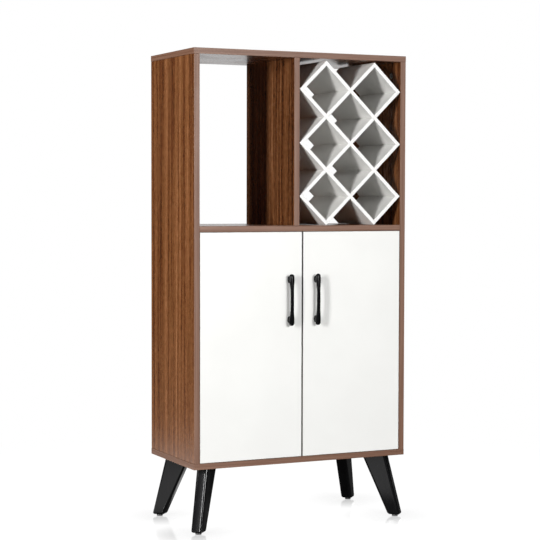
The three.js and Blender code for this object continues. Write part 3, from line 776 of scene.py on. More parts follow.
class Bench:
    """Blender's modelling operators, used as by hand."""

    @staticmethod
    def clear() -> None:
        """Leave edit mode and deselect everything."""
        if bpy.context.mode != "OBJECT":
            bpy.ops.object.mode_set(mode="OBJECT")
        bpy.ops.object.select_all(action="DESELECT")

    @staticmethod
    def take(piece: Piece) -> None:
        """Make a piece the only selected and the active object."""
        Bench.clear()
        piece.select_set(True)
        bpy.context.view_layer.objects.active = piece

    @staticmethod
    def added(name: str) -> Piece:
        """Name the object that was just added and return it."""
        piece = bpy.context.active_object
        piece.name = name
        piece.data.name = name
        return piece

    @staticmethod
    def settle(piece: Piece) -> Piece:
        """Put the object's place, turn and size into its mesh and return it."""
        Bench.take(piece)
        bpy.ops.object.transform_apply(location=True, rotation=True, scale=True)
        return piece

    @staticmethod
    def cube(name: str, size: Triple, middle: Triple) -> Piece:
        """Add a cube of a size round a middle."""
        Bench.clear()
        bpy.ops.mesh.primitive_cube_add(size=1.0, location=middle, scale=size)
        return Bench.settle(Bench.added(name))

    @staticmethod
    def cylinder(name: str, radius: float, depth: float, sides: int, level: float = 0.0) -> Piece:
        """Add a cylinder on the Z axis whose middle lies at a level."""
        Bench.clear()
        bpy.ops.mesh.primitive_cylinder_add(
            vertices=sides, radius=radius, depth=depth, location=(0.0, 0.0, level)
        )
        return Bench.settle(Bench.added(name))

    @staticmethod
    def grown(name: str, stations: Sequence[Station], sides: int, axis: Axis = Axis.Z) -> Piece:
        """Grow a round form from a filled circle, one extrusion for each further station.

        Args:
            name: The piece's name.
            stations: The cross-sections in order.
            sides: Points round each cross-section.
            axis: The axis that the cross-sections stand square to, Y or Z.

        Returns:
            The closed form.
        """
        first = stations[0]
        turn = (QUARTER_TURN if axis is Axis.Y else 0.0, 0.0, 0.0)
        Bench.clear()
        bpy.ops.mesh.primitive_circle_add(
            vertices=sides, radius=0.5, fill_type="NGON", location=first.middle, rotation=turn
        )
        piece = Bench.added(name)
        piece.scale = (first.width, first.depth, 1.0)
        Bench.edit(Bench.settle(piece))
        bpy.ops.mesh.select_all(action="SELECT")
        for before, after in zip(stations, stations[1:]):
            wide, deep = after.width / before.width, after.depth / before.depth
            ratio = (wide, 1.0, deep) if axis is Axis.Y else (wide, deep, 1.0)
            Bench.extrude(Vector(after.middle) - Vector(before.middle))
            bpy.ops.transform.resize(value=ratio, center_override=after.middle)
        Bench.finish_edit()
        Bench.outward(piece)
        return piece

    @staticmethod
    def extrude(move: Sequence[float]) -> None:
        """Extrude the selected faces by a move."""
        bpy.ops.mesh.extrude_region_move(TRANSFORM_OT_translate={"value": move})

    @staticmethod
    def edit(piece: Piece) -> None:
        """Open a piece in edit mode with nothing selected."""
        Bench.take(piece)
        bpy.ops.object.mode_set(mode="EDIT")
        bpy.ops.mesh.select_all(action="DESELECT")

    @staticmethod
    def finish_edit() -> None:
        """Leave edit mode."""
        bpy.ops.object.mode_set(mode="OBJECT")

    @staticmethod
    def edit_faces(piece: Piece, test: FaceTest) -> None:
        """Open a piece in edit mode with the faces selected that pass a test."""
        Bench.edit(piece)
        bpy.ops.mesh.select_mode(type="FACE")
        mesh = bmesh.from_edit_mesh(piece.data)
        for face in mesh.faces:
            face.select_set(test(face))
        bmesh.update_edit_mesh(piece.data)

    @staticmethod
    def bevel(piece: Piece, test: EdgeTest, width: float, steps: int) -> None:
        """Round the edges of a piece that pass a test."""
        Bench.edit(piece)
        bpy.ops.mesh.select_mode(type="EDGE")
        mesh = bmesh.from_edit_mesh(piece.data)
        for edge in mesh.edges:
            edge.select_set(test(edge))
        mesh.select_flush_mode()
        bmesh.update_edit_mesh(piece.data)
        bpy.ops.mesh.bevel(offset=width, segments=steps, affect="EDGES")
        Bench.finish_edit()

    @staticmethod
    def modifier(piece: Piece, kind: str, **settings: object) -> None:
        """Add a modifier and apply it."""
        Bench.take(piece)
        made = piece.modifiers.new(kind.lower(), kind)
        for name, value in settings.items():
            setattr(made, name, value)
        bpy.ops.object.modifier_apply(modifier=made.name)

    @staticmethod
    def rounded(piece: Piece, width: float, steps: int = 2, angle: float = 40.0) -> None:
        """Round every edge of a piece that is sharper than an angle in degrees."""
        Bench.modifier(
            piece,
            "BEVEL",
            width=width,
            segments=steps,
            limit_method="ANGLE",
            angle_limit=math.radians(angle),
            use_clamp_overlap=True,
        )

    @staticmethod
    def smooth(piece: Piece, angle: float = 40.0) -> None:
        """Shade a piece smooth, keeping its flats flat and edges sharper than an angle."""
        Bench.take(piece)
        bpy.ops.object.shade_smooth_by_angle(angle=math.radians(angle))
        Bench.modifier(piece, "WEIGHTED_NORMAL", keep_sharp=True)

    @staticmethod
    def joined(name: str, pieces: Sequence[Piece]) -> Piece:
        """Join pieces into one object."""
        Bench.take(pieces[0])
        for piece in pieces:
            piece.select_set(True)
        bpy.ops.object.join()
        return Bench.added(name)

    @staticmethod
    def cut(piece: Piece, tool: Piece, operation: str = "DIFFERENCE") -> None:
        """Combine a tool's shape with a piece, as a rule by cutting it out, and remove the tool."""
        Bench.modifier(piece, "BOOLEAN", operation=operation, solver="EXACT", object=tool)
        bpy.data.objects.remove(tool)

    @staticmethod
    def fuse(piece: Piece, other: Piece) -> None:
        """Make another shape part of a piece and remove the other."""
        Bench.cut(piece, other, "UNION")

    @staticmethod
    def outward(piece: Piece) -> None:
        """Merge doubled points and turn every face outwards."""
        Bench.edit(piece)
        bpy.ops.mesh.select_all(action="SELECT")
        bpy.ops.mesh.remove_doubles(threshold=0.001 * MM)
        bpy.ops.mesh.normals_make_consistent(inside=False)
        Bench.finish_edit()

    @staticmethod
    def copy(piece: Piece, name: str, matrix: Matrix) -> Piece:
        """Copy a piece with a mesh of its own, moved by a matrix."""
        twin = piece.copy()
        twin.data = piece.data.copy()
        twin.name = name
        twin.data.name = name
        bpy.context.scene.collection.objects.link(twin)
        twin.data.transform(matrix)
        if matrix.determinant() < 0.0:
            twin.data.flip_normals()
        return twin

    @staticmethod
    def merged_copy(node: str, name: str) -> Piece:
        """Copy a frame node as a closed mesh with flat faces made whole."""
        mesh = bpy.data.meshes.new(name)
        shape = bmesh.new()
        shape.from_mesh(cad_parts[node].data)
        bmesh.ops.remove_doubles(shape, verts=shape.verts, dist=0.002 * MM)
        bmesh.ops.dissolve_limit(
            shape, angle_limit=math.radians(0.4), verts=shape.verts, edges=shape.edges
        )
        shape.to_mesh(mesh)
        shape.free()
        piece = bpy.data.objects.new(name, mesh)
        bpy.context.scene.collection.objects.link(piece)
        return piece

    @staticmethod
    def discard(*pieces: Piece) -> None:
        """Remove the pieces that copies were made from."""
        for piece in pieces:
            bpy.data.objects.remove(piece)


def dress(piece: Piece, finish: Finish, body: str, node: str) -> None:
    """Give a piece its material and its body, in place of a frame node.

    Args:
        piece: The finished piece, in place.
        finish: Its finish.
        body: The body that it moves with.
        node: The frame node that it replaces.
    """
    piece.data.materials.clear()
    piece.data.materials.append(finish.material())
    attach(piece, body)
    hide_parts(node)
    log.info("%s rides on %s, %d faces", piece.name, body, len(piece.data.polygons))


@dataclass
class EasedBoard:
    """A frame board with its sharp edges eased by hand."""

    node: str
    finish: Finish
    body: str = CARCASS
    radius: float = 0.5 * MM
    steps: int = 2

    def build(self) -> None:
        """Set the eased board in place of its node."""
        piece = Bench.merged_copy(self.node, f"{self.node}_eased")
        Bench.rounded(piece, self.radius, self.steps)
        Bench.smooth(piece, 50.0)
        dress(piece, self.finish, self.body, self.node)


# Sub-assemblies


@dataclass
class Carcass:
    """The walnut panels, the thin back and the loose shelf."""

    upright: tuple[str, ...] = ("left_side_panel", "right_side_panel", "bay_divider")
    lying: tuple[str, ...] = ("top_panel", "bottom_panel", "middle_shelf", "cupboard_shelf")
    banded_ends: tuple[str, ...] = ("top_panel", "bottom_panel")
    roughness: float = 0.2
    divider_tones: Pair = (1.58, 2.2)
    back: str = "cupboard_back_panel"
    back_roughness: float = 0.5
    back_edge: float = 0.2 * MM

    def walnut(self, node: str, grain: Axis) -> Walnut:
        """Return the walnut finish of one board, with its bands where its edges show."""
        finish = Walnut(
            f"walnut {node.replace('_', ' ')}",
            "walnut",
            self.roughness,
            grain=grain,
            banded=(1.0 if node in self.banded_ends else 0.0, 1.0, 0.0),
            **limits(node),
        )
        return replace(finish, tones=self.divider_tones) if node == "bay_divider" else finish

    def build(self) -> None:
        """Dress every panel."""
        for nodes, grain in ((self.upright, Axis.Z), (self.lying, Axis.X)):
            for node in nodes:
                EasedBoard(node, self.walnut(node, grain)).build()
        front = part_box(self.back)[0].y
        finish = Hardboard("printed hardboard", "back_board", self.back_roughness, front=front)
        EasedBoard(self.back, finish, radius=self.back_edge).build()


@dataclass
class LatticeRack:
    """The ten half-lapped boards of the bottle rack."""

    kinds: tuple[str, ...] = ("falling", "rising")
    boards: int = 5
    edge: float = 0.4 * MM

    def build(self) -> None:
        """Dress every board, its front and back edges whiter as painted light."""
        finish = replace(WHITE_BOARD, **limits("rack_falling_board_1"))
        for kind in self.kinds:
            for number in range(1, self.boards + 1):
                EasedBoard(f"rack_{kind}_board_{number}", finish, radius=self.edge).build()


@dataclass
class Doors:
    """The two white doors."""

    edge: float = 0.5 * MM
    edge_steps: int = 3

    def build(self) -> None:
        """Dress both doors, their side, top and bottom edges grey as painted shade in the gaps round
        them.
        """
        for side in SIDES:
            node = f"{side}_door"
            finish = replace(WHITE_LACQUER, name=f"white lacquer {side} door", **limits(node))
            EasedBoard(node, finish, node, self.edge, self.edge_steps).build()


@dataclass
class ScrewHead:
    """A domed head with a cross recess, looking along +Z from z = 0."""

    radius: float
    height: float
    dome_share: float = 0.55
    recess_share: float = 0.62
    recess_level_share: float = 0.95
    slot: float = 0.9 * MM

    def build(self, name: str) -> Piece:
        """Return the head, standing at the origin."""
        head = Bench.cylinder(name, self.radius, self.height, 32, self.height / 2.0)
        Bench.bevel(head, above(self.height), self.height * self.dome_share, 4)
        reach = 2.0 * self.radius * self.recess_share
        level = (0.0, 0.0, self.height * self.recess_level_share)
        for size in ((reach, self.slot, self.height), (self.slot, reach, self.height)):
            Bench.cut(head, Bench.cube("recess", size, level))
        Bench.smooth(head)
        return head


@dataclass
class BowHandle:
    """A cast bow handle: a waisted grip whose ends swell into two posts.

    It is modelled round the middle between its posts, on the door's face at y = 0. Shares along
    the grip are of its half length, and shares along a post run from its foot to the grip.
    """

    length: float = 132.0 * MM
    projection: float = 22.0 * MM
    pitch: float = 102.0 * MM
    waist: Pair = mm(9.6, 8.1)
    end: Pair = mm(14.0, 9.0)
    arch: float = 3.0 * MM
    face_gap: float = 0.3 * MM
    voxel: float = 0.55 * MM
    bore: float = 4.6 * MM
    bore_depth: float = 9.3 * MM
    bore_overrun: float = 1.0 * MM
    shares: tuple[float, ...] = (
        0.0, 0.2, 0.35, 0.45, 0.55, 0.65, 0.74, 0.84, 0.9, 0.94, 0.97, 0.99, 0.998
    )
    flare_start_share: float = 0.35
    flare_length_share: float = 0.49
    round_start_share: float = 0.9
    round_length_share: float = 0.1
    post_shares: tuple[float, ...] = (0.0, 0.14, 0.33, 0.6, 0.82, 1.0)
    post_widths: tuple[float, ...] = mm(10.4, 9.7, 8.9, 9.2, 11.0, 12.2)
    post_heights: tuple[float, ...] = mm(18.6, 17.4, 15.8, 16.2, 20.0, 22.4)

    def ring(self, share: float) -> Station:
        """Return the grip's cross-section at a share of its half length."""
        reach = abs(share)
        flare = min(1.0, max(0.0, (reach - self.flare_start_share) / self.flare_length_share))
        flare = flare * flare * (3.0 - 2.0 * flare)
        past = max(0.0, (reach - self.round_start_share) / self.round_length_share)
        closing = math.sqrt(max(0.0, 1.0 - past * past))
        width = self.waist[0] + (self.end[0] - self.waist[0]) * flare
        depth = self.waist[1] + (self.end[1] - self.waist[1]) * flare
        front = self.projection - self.arch * reach * reach
        middle = (0.0, depth / 2.0 - front, share * self.length / 2.0)
        return Station(middle, width * closing, depth * closing)

    def grip(self) -> Piece:
        """Return the bar between the posts."""
        shares = [-share for share in reversed(self.shares[1:])] + list(self.shares)
        return Bench.grown("grip", [self.ring(share) for share in shares], 40)

    def post(self, level: float) -> Piece:
        """Return one post, a little waisted between its foot and the grip."""
        height = level * self.pitch / 2.0
        head = self.projection - self.arch - self.end[1] / 2.0
        stations = [
            Station((0.0, -head * share, height), width, tall)
            for share, width, tall in zip(self.post_shares, self.post_widths, self.post_heights)
        ]
        return Bench.grown("post", stations, 36, Axis.Y)

    def drill(self, level: float) -> Piece:
        """Return the shape of one screw bore."""
        depth = self.bore_depth + 2.0 * self.bore_overrun
        tool = Bench.cylinder("drill", self.bore / 2.0, depth, 24)
        place = moved(0.0, self.bore_overrun - self.bore_depth / 2.0, level * self.pitch / 2.0)
        tool.data.transform(place @ Matrix.Rotation(QUARTER_TURN, 4, "X"))
        return tool

    def build(self) -> Piece:
        """Return the handle, fused into one casting."""
        posts = [self.post(level) for level in LEVELS.values()]
        piece = Bench.joined("bow_handle", [self.grip(), *posts])
        Bench.modifier(piece, "REMESH", mode="VOXEL", voxel_size=self.voxel, use_smooth_shade=True)
        Bench.modifier(piece, "SMOOTH", factor=0.5, iterations=8)
        Bench.edit(piece)
        bpy.ops.mesh.select_all(action="SELECT")
        foot = (0.0, -self.face_gap, 0.0)
        bpy.ops.mesh.bisect(plane_co=foot, plane_no=(0.0, 1.0, 0.0), use_fill=True, clear_outer=True)
        Bench.finish_edit()
        for level in LEVELS.values():
            Bench.cut(piece, self.drill(level))
        Bench.smooth(piece, 50.0)
        return piece


@dataclass
class HandleScrew:
    """The screw that holds a handle from inside the door, its head bearing on y = 0."""

    diameter: float = 4.0 * MM
    shank: float = 24.0 * MM
    tip_share: float = 0.8
    root_share: float = 0.88
    half_pitch: float = 0.7 * MM
    head_radius: float = 4.25 * MM
    head_height: float = 2.4 * MM
    gap: float = 0.3 * MM
    sunk: float = 0.2 * MM

    def build(self) -> Piece:
        """Return the screw, its shank running forward along -Y."""
        head = ScrewHead(self.head_radius, self.head_height).build("screw_head")
        head.data.transform(moved(z=self.gap))
        stations = [Station.disc(-self.shank, self.tip_share * self.diameter)]
        for turn in range(int(self.shank / self.half_pitch) - 1):
            level = -self.shank + (turn + 0.5) * self.half_pitch
            stations.append(Station.disc(level, self.diameter * (1.0 if turn % 2 else self.root_share)))
        stations.append(Station.disc(self.gap + self.sunk, self.diameter))
        screw = Bench.joined("handle_screw", [head, Bench.grown("shank", stations, 16)])
        screw.data.transform(Matrix.Rotation(-QUARTER_TURN, 4, "X"))
        return screw


@dataclass
class Handles:
    """Both handles and their four screws."""

    handle: BowHandle = field(default_factory=BowHandle)
    screw: HandleScrew = field(default_factory=HandleScrew)

    def build(self) -> None:
        """Model a handle and a screw once and set copies at the frame's places."""
        casting, screw = self.handle.build(), self.screw.build()
        for side in SIDES:
            door = f"{side}_door"
            front, inner = (corner.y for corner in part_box(door))
            node = f"{side}_handle"
            middle = centre_of(node)
            piece = Bench.copy(casting, f"{side}_bow_handle", moved(middle.x, front, middle.z))
            dress(piece, BLACK_GLOSS, door, node)
            for level in LEVELS:
                node = f"{side}_handle_{level}_screw"
                middle = centre_of(node)
                place = moved(middle.x, inner, middle.z)
                piece = Bench.copy(screw, f"{side}_{level}_machine_screw", place)
                dress(piece, NICKEL, door, node)
        Bench.discard(casting, screw)


@dataclass
class SplayedLeg:
    """A tapered plank leg with a rounded foot.

    It is modelled with the middle of its top on the Z axis and leaning towards +X.
    """

    top_width: float = 66.0 * MM
    foot_width: float = 32.7 * MM
    thickness: float = 31.0 * MM
    height: float = 158.7 * MM
    splay: float = 57.0 * MM
    corner: float = 7.0 * MM
    foot_corner: float = 5.4 * MM
    bolt_bore: float = 8.6 * MM
    bolt_depth: float = 34.3 * MM
    nail_bore: float = 3.4 * MM
    nail_depth: float = 14.2 * MM
    gap: float = 0.3 * MM

    def build(self) -> Piece:
        """Return the wooden leg."""
        middle = (0.0, 0.0, -self.gap - self.height / 2.0)
        foot = -self.gap - self.height
        leg = Bench.cube("leg", (self.top_width, self.thickness, self.height), middle)
        Bench.edit_faces(leg, facing(Axis.Z, -1.0))
        taper = (self.foot_width / self.top_width, 1.0, 1.0)
        bpy.ops.transform.resize(value=taper, center_override=(0.0, 0.0, foot))
        bpy.ops.transform.translate(value=(self.splay, 0.0, 0.0))
        Bench.finish_edit()
        Bench.bevel(leg, along(Axis.Z), self.corner, 5)
        Bench.bevel(leg, below(foot), self.foot_corner, 4)
        Bench.cut(leg, Bench.cylinder("bolt_bore", self.bolt_bore / 2.0, 2.0 * self.bolt_depth, 24))
        nail = Bench.cylinder("nail_bore", self.nail_bore / 2.0, 2.0 * self.nail_depth, 16, foot)
        nail.data.transform(moved(self.splay))
        Bench.cut(leg, nail)
        Bench.smooth(leg)
        return leg


@dataclass
class FootGlide:
    """A round glide with a nail on top, standing on z = 0."""

    radius: float = 8.0 * MM
    height: float = 5.0 * MM
    sole_edge: float = 1.3 * MM
    top_edge: float = 0.4 * MM
    nail_radius: float = 1.5 * MM
    nail_length: float = 12.0 * MM
    tip_length: float = 2.0 * MM
    tip_share: float = 0.2

    def build(self) -> Piece:
        """Return the glide."""
        glide = Bench.cylinder("glide", self.radius, self.height, 40, self.height / 2.0)
        Bench.bevel(glide, below(0.0), self.sole_edge, 4)
        Bench.bevel(glide, above(self.height), self.top_edge, 2)
        Bench.edit_faces(glide, facing(Axis.Z, 1.0))
        bpy.ops.mesh.inset(thickness=self.radius - self.top_edge - self.nail_radius)
        Bench.extrude((0.0, 0.0, self.nail_length))
        Bench.extrude((0.0, 0.0, self.tip_length))
        tip = (0.0, 0.0, self.height + self.nail_length + self.tip_length)
        bpy.ops.transform.resize(value=(self.tip_share, self.tip_share, 1.0), center_override=tip)
        Bench.finish_edit()
        Bench.smooth(glide)
        return glide


@dataclass
class LegBolt:
    """The socket-head bolt that holds a leg, its head bearing on z = 0."""

    head_radius: float = 8.5 * MM
    head_height: float = 2.5 * MM
    head_edge: float = 1.2 * MM
    gap: float = 0.3 * MM
    socket_radius: float = 2.5 * MM
    socket_depth: float = 1.8 * MM
    shank: float = 49.3 * MM
    diameter: float = 8.0 * MM
    root: float = 7.0 * MM
    tip: float = 6.0 * MM
    half_pitch: float = 0.75 * MM
    half_turns: int = 39
    sunk: float = 0.2 * MM

    def build(self) -> Piece:
        """Return the bolt."""
        top = self.gap + self.head_height
        level = self.gap + self.head_height / 2.0
        head = Bench.cylinder("bolt_head", self.head_radius, self.head_height, 40, level)
        Bench.bevel(head, above(top), self.head_edge, 4)
        Bench.cut(head, Bench.cylinder("socket", self.socket_radius, 2.0 * self.socket_depth, 6, top))
        stations = [Station.disc(-self.shank, self.tip)]
        for turn in range(1, self.half_turns + 1):
            level = -self.shank + turn * self.half_pitch
            stations.append(Station.disc(level, self.diameter if turn % 2 else self.root))
        stations.append(Station.disc(self.gap + self.sunk, self.diameter))
        Bench.smooth(head)
        return Bench.joined("leg_bolt", [head, Bench.grown("bolt_shank", stations, 20)])


@dataclass
class Legs:
    """The four legs with their glides and bolts."""

    leg: SplayedLeg = field(default_factory=SplayedLeg)
    glide: FootGlide = field(default_factory=FootGlide)
    bolt: LegBolt = field(default_factory=LegBolt)

    def build(self) -> None:
        """Model one leg and set a turned copy at each corner."""
        plank, glide, bolt = self.leg.build(), self.glide.build(), self.bolt.build()
        underside, floor = (corner.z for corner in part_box("bottom_panel"))
        for end in ENDS:
            for side in SIDES:
                corner = f"{end}_{side}"
                head = centre_of(f"leg_bolt_{corner}")
                foot = centre_of(f"leg_glide_{corner}")
                heading = math.atan2(foot.y - head.y, foot.x - head.x)
                place = moved(head.x, head.y, underside) @ Matrix.Rotation(heading, 4, "Z")
                piece = Bench.copy(plank, f"{corner}_plank_leg", place)
                dress(piece, BLACK_PAINT, CARCASS, f"leg_{corner}")
                piece = Bench.copy(glide, f"{corner}_foot_glide", moved(foot.x, foot.y))
                dress(piece, BLACK_PLASTIC_PAINTED_SHEEN, CARCASS, f"leg_glide_{corner}")
                piece = Bench.copy(bolt, f"{corner}_socket_bolt", moved(head.x, head.y, floor))
                dress(piece, ZINC, CARCASS, f"leg_bolt_{corner}")
        Bench.discard(plank, glide, bolt)


@dataclass
class CamLock:
    """A cam that draws a panel to its neighbour: a ringed disc with a cross for the driver.

    Its face looks along +X from x = 0.
    """

    radius: float = 7.5 * MM
    depth: float = 12.0 * MM
    rim: float = 1.6 * MM
    recess: float = 0.8 * MM
    floor_share: float = 0.94
    cross: float = 7.0 * MM
    slot: float = 1.8 * MM
    slot_depth: float = 3.5 * MM
    pointer: Triple = mm(1.2, 2.2, 1.0)
    pointer_radius: float = 5.0 * MM
    edge: float = 0.15 * MM

    def build(self) -> Piece:
        """Return the cam."""
        floor = (0.0, 0.0, -self.recess)
        cam = Bench.cylinder("cam", self.radius, self.depth, 56, -self.depth / 2.0)
        Bench.edit_faces(cam, facing(Axis.Z, 1.0))
        bpy.ops.mesh.inset(thickness=self.rim)
        Bench.extrude(floor)
        taper = (self.floor_share, self.floor_share, 1.0)
        bpy.ops.transform.resize(value=taper, center_override=floor)
        Bench.finish_edit()
        tall = 2.0 * self.slot_depth
        for size in ((self.cross, self.slot, tall), (self.slot, self.cross, tall)):
            Bench.cut(cam, Bench.cube("slot", size, floor))
        mark = (0.0, self.pointer_radius, -self.recess)
        Bench.cut(cam, Bench.cube("pointer", self.pointer, mark))
        Bench.rounded(cam, self.edge)
        Bench.smooth(cam)
        cam.data.transform(Matrix.Rotation(QUARTER_TURN, 4, "Y"))
        return cam


@dataclass
class ShelfPin:
    """A shelf pin: a peg, a collar and a rounded head towards +X, given by its outline."""

    levels: tuple[float, ...] = mm(-9.0, -8.5, 0.3, 0.3001, 2.0, 2.6, 6.2, 7.0)
    diameters: tuple[float, ...] = mm(4.0, 5.0, 5.0, 8.0, 8.0, 6.6, 6.6, 5.0)
    edge: float = 0.2 * MM

    def build(self) -> Piece:
        """Return the pin."""
        stations = [Station.disc(*pair) for pair in zip(self.levels, self.diameters)]
        pin = Bench.grown("pin", stations, 32)
        Bench.rounded(pin, self.edge, angle=30.0)
        Bench.smooth(pin)
        pin.data.transform(Matrix.Rotation(QUARTER_TURN, 4, "Y"))
        return pin


@dataclass
class PanelFittings:
    """The cam locks and shelf pins in the side panels."""

    cam: CamLock = field(default_factory=CamLock)
    pin: ShelfPin = field(default_factory=ShelfPin)

    def build(self) -> None:
        """Model one of each and set copies on both sides."""
        cam, pin = self.cam.build(), self.pin.build()
        for side in SIDES:
            for end in ENDS:
                fittings = [
                    (cam, f"{level}_{end}_{side}_cam", ZINC, f"cam_lock_{level}_{end}_{side}")
                    for level in ("top", "bottom")
                ]
                fittings.append((pin, f"{end}_{side}_pin", NICKEL, f"shelf_pin_{end}_{side}"))
                for source, name, finish, node in fittings:
                    middle = centre_of(node)
                    place = moved(inner_face(side), middle.y, middle.z) @ mirrored(side)
                    dress(Bench.copy(source, name, place), finish, CARCASS, node)
        Bench.discard(cam, pin)


@dataclass
class HingeCup:
    """A concealed hinge's cup, let into the door, with its middle at the origin."""

    radius: float = 17.5 * MM
    depth: float = 11.5 * MM
    wall: float = 1.0 * MM
    rim: float = 1.5 * MM
    floor_corner: float = 2.0 * MM
    flange_width: float = 14.0 * MM
    flange_height: float = 62.0 * MM
    flange_thickness: float = 1.2 * MM
    flange_corner: float = 5.0 * MM
    edge: float = 0.25 * MM
    screw_pitch: float = 50.0 * MM
    screw_head: Pair = mm(3.1, 1.3)
    screw_sunk: float = 0.2 * MM
    gap: float = 0.3 * MM
    sides: int = 72

    def build(self) -> Piece:
        """Return the cup with its flange and the flange's screws, facing +Y."""
        top = self.gap + self.flange_thickness
        tall = top + self.depth
        level = top - self.flange_thickness / 2.0
        size = (self.flange_width, self.flange_height, self.flange_thickness)
        cup = Bench.cube("flange", size, (0.0, 0.0, level))
        Bench.bevel(cup, along(Axis.Z), self.flange_corner, 6)
        rim_radius = self.radius + self.rim
        Bench.fuse(cup, Bench.cylinder("rim", rim_radius, self.flange_thickness, self.sides, level))
        Bench.fuse(cup, Bench.cylinder("bowl", self.radius, tall, self.sides, top - tall / 2.0))
        floor = top - tall + self.wall
        hollow = Bench.cylinder("hollow", self.radius - self.wall, tall, self.sides, floor + tall / 2.0)
        Bench.bevel(hollow, below(floor), self.floor_corner, 4)
        Bench.cut(cup, hollow)
        Bench.rounded(cup, self.edge)
        Bench.smooth(cup)
        pieces = [cup]
        for way in LEVELS.values():
            screw = ScrewHead(*self.screw_head).build("flange_screw")
            screw.data.transform(moved(0.0, way * self.screw_pitch / 2.0, top - self.screw_sunk))
            pieces.append(screw)
        cup = Bench.joined("hinge_cup", pieces)
        cup.data.transform(Matrix.Rotation(-QUARTER_TURN, 4, "X"))
        return cup


@dataclass
class HingeArm:
    """A concealed hinge's cranked arm on its mounting plate, drawn for the left side.

    Its frame has x = 0 on the side panel's inner face and y = 0 on the door's inner face. The
    sections run from the arm's back end to its nose, each by its edges beside and away from the
    panel. A screw has its place, its radius and its height.
    """

    height: float = 13.0 * MM
    back_end: Pair = mm(10.3, 2.0)
    back_middle: Triple = mm(7.85, 71.0, 0.0)
    sections: tuple[tuple[Pair, Pair], ...] = (
        (mm(2.7, 24.0), mm(13.0, 29.0)),
        (mm(4.4, 17.0), mm(17.0, 21.5)),
        (mm(8.9, 10.5), mm(23.2, 15.0)),
        (mm(18.5, 5.0), mm(26.5, 6.5)),
        (mm(18.5, -10.2), mm(26.5, -10.2)),
    )
    section_step: float = 1.0 * MM
    channel: Triple = mm(6.0, 34.0, 9.0)
    channel_middle: Triple = mm(13.0, 50.0, 0.0)
    arm_edge: float = 0.5 * MM
    plate: Triple = mm(2.7, 38.0, 50.0)
    plate_middle: Triple = mm(1.65, 49.0, 0.0)
    plate_corner: float = 4.0 * MM
    plate_edge: float = 0.4 * MM
    screws: tuple[tuple[Triple, Pair], ...] = (
        (mm(2.8, 49.0, 16.0), mm(3.5, 1.6)),
        (mm(2.8, 49.0, -16.0), mm(3.5, 1.6)),
        (mm(9.9, 42.0, 0.0), mm(2.9, 1.5)),
        (mm(9.9, 58.0, 0.0), mm(3.4, 1.8)),
    )

    def arm(self) -> Piece:
        """Return the arm, extruded from section to section and hollowed at the back."""
        arm = Bench.cube("arm", (*self.back_end, self.height), self.back_middle)
        Bench.edit_faces(arm, facing(Axis.Y, -1.0))
        for inner, outer in self.sections:
            Bench.extrude((0.0, -self.section_step, 0.0))
            mesh = bmesh.from_edit_mesh(arm.data)
            corners = {vertex for face in mesh.faces if face.select for vertex in face.verts}
            beside, away = self.halves(sorted(corners, key=lambda vertex: vertex.co.x))
            for group, target in ((beside, inner), (away, outer)):
                for vertex in group:
                    vertex.co.x, vertex.co.y = target
            bmesh.update_edit_mesh(arm.data)
        Bench.finish_edit()
        Bench.outward(arm)
        Bench.cut(arm, Bench.cube("channel", self.channel, self.channel_middle))
        Bench.rounded(arm, self.arm_edge, angle=30.0)
        Bench.smooth(arm)
        return arm

    @staticmethod
    def halves(corners: Sequence[bmesh.types.BMVert]) -> tuple[Sequence, Sequence]:
        """Return the first and the second half of a section's sorted corners."""
        half = len(corners) // 2
        return corners[:half], corners[half:]

    def build(self) -> Piece:
        """Return the arm with its mounting plate and screws."""
        arm = self.arm()
        plate = Bench.cube("plate", self.plate, self.plate_middle)
        Bench.bevel(plate, along(Axis.X), self.plate_corner, 5)
        Bench.rounded(plate, self.plate_edge)
        Bench.smooth(plate)
        pieces = [arm, plate]
        for place, size in self.screws:
            head = ScrewHead(*size).build("plate_screw")
            head.data.transform(moved(*place) @ Matrix.Rotation(QUARTER_TURN, 4, "Y"))
            pieces.append(head)
        return Bench.joined("hinge_arm", pieces)


@dataclass
class Hinges:
    """The four concealed hinges."""

    cup: HingeCup = field(default_factory=HingeCup)
    arm: HingeArm = field(default_factory=HingeArm)

    def build(self) -> None:
        """Model one hinge and set copies at the frame's places, the arms mirrored."""
        cup, arm = self.cup.build(), self.arm.build()
        for side in SIDES:
            door = f"{side}_door"
            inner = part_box(door)[1].y
            for level in LEVELS:
                node = f"{side}_{level}_hinge_cup"
                middle = centre_of(node)
                place = moved(middle.x, inner, middle.z)
                dress(Bench.copy(cup, f"{side}_{level}_cup", place), NICKEL, door, node)
                node = f"{side}_{level}_hinge_arm"
                place = moved(inner_face(side), inner, centre_of(node).z) @ mirrored(side)
                dress(Bench.copy(arm, f"{side}_{level}_arm", place), NICKEL, CARCASS, node)
        Bench.discard(cup, arm)


# The studio


@dataclass(frozen=True)
class Lamp:
    """A rectangular lamp that faces a point on the cabinet's upright middle line."""

    name: str
    place: Triple
    size: Pair
    watts: float
    aim_height: float = 0.6

    def hang(self) -> None:
        """Put the lamp into the scene."""
        light = bpy.data.lights.new(self.name, "AREA")
        light.shape = "RECTANGLE"
        light.size, light.size_y = self.size
        light.energy = self.watts
        lamp = bpy.data.objects.new(self.name, light)
        lamp.location = self.place
        towards = Vector((0.0, 0.0, self.aim_height)) - Vector(self.place)
        lamp.rotation_euler = towards.to_track_quat("-Z", "Y").to_euler()
        bpy.context.scene.collection.objects.link(lamp)


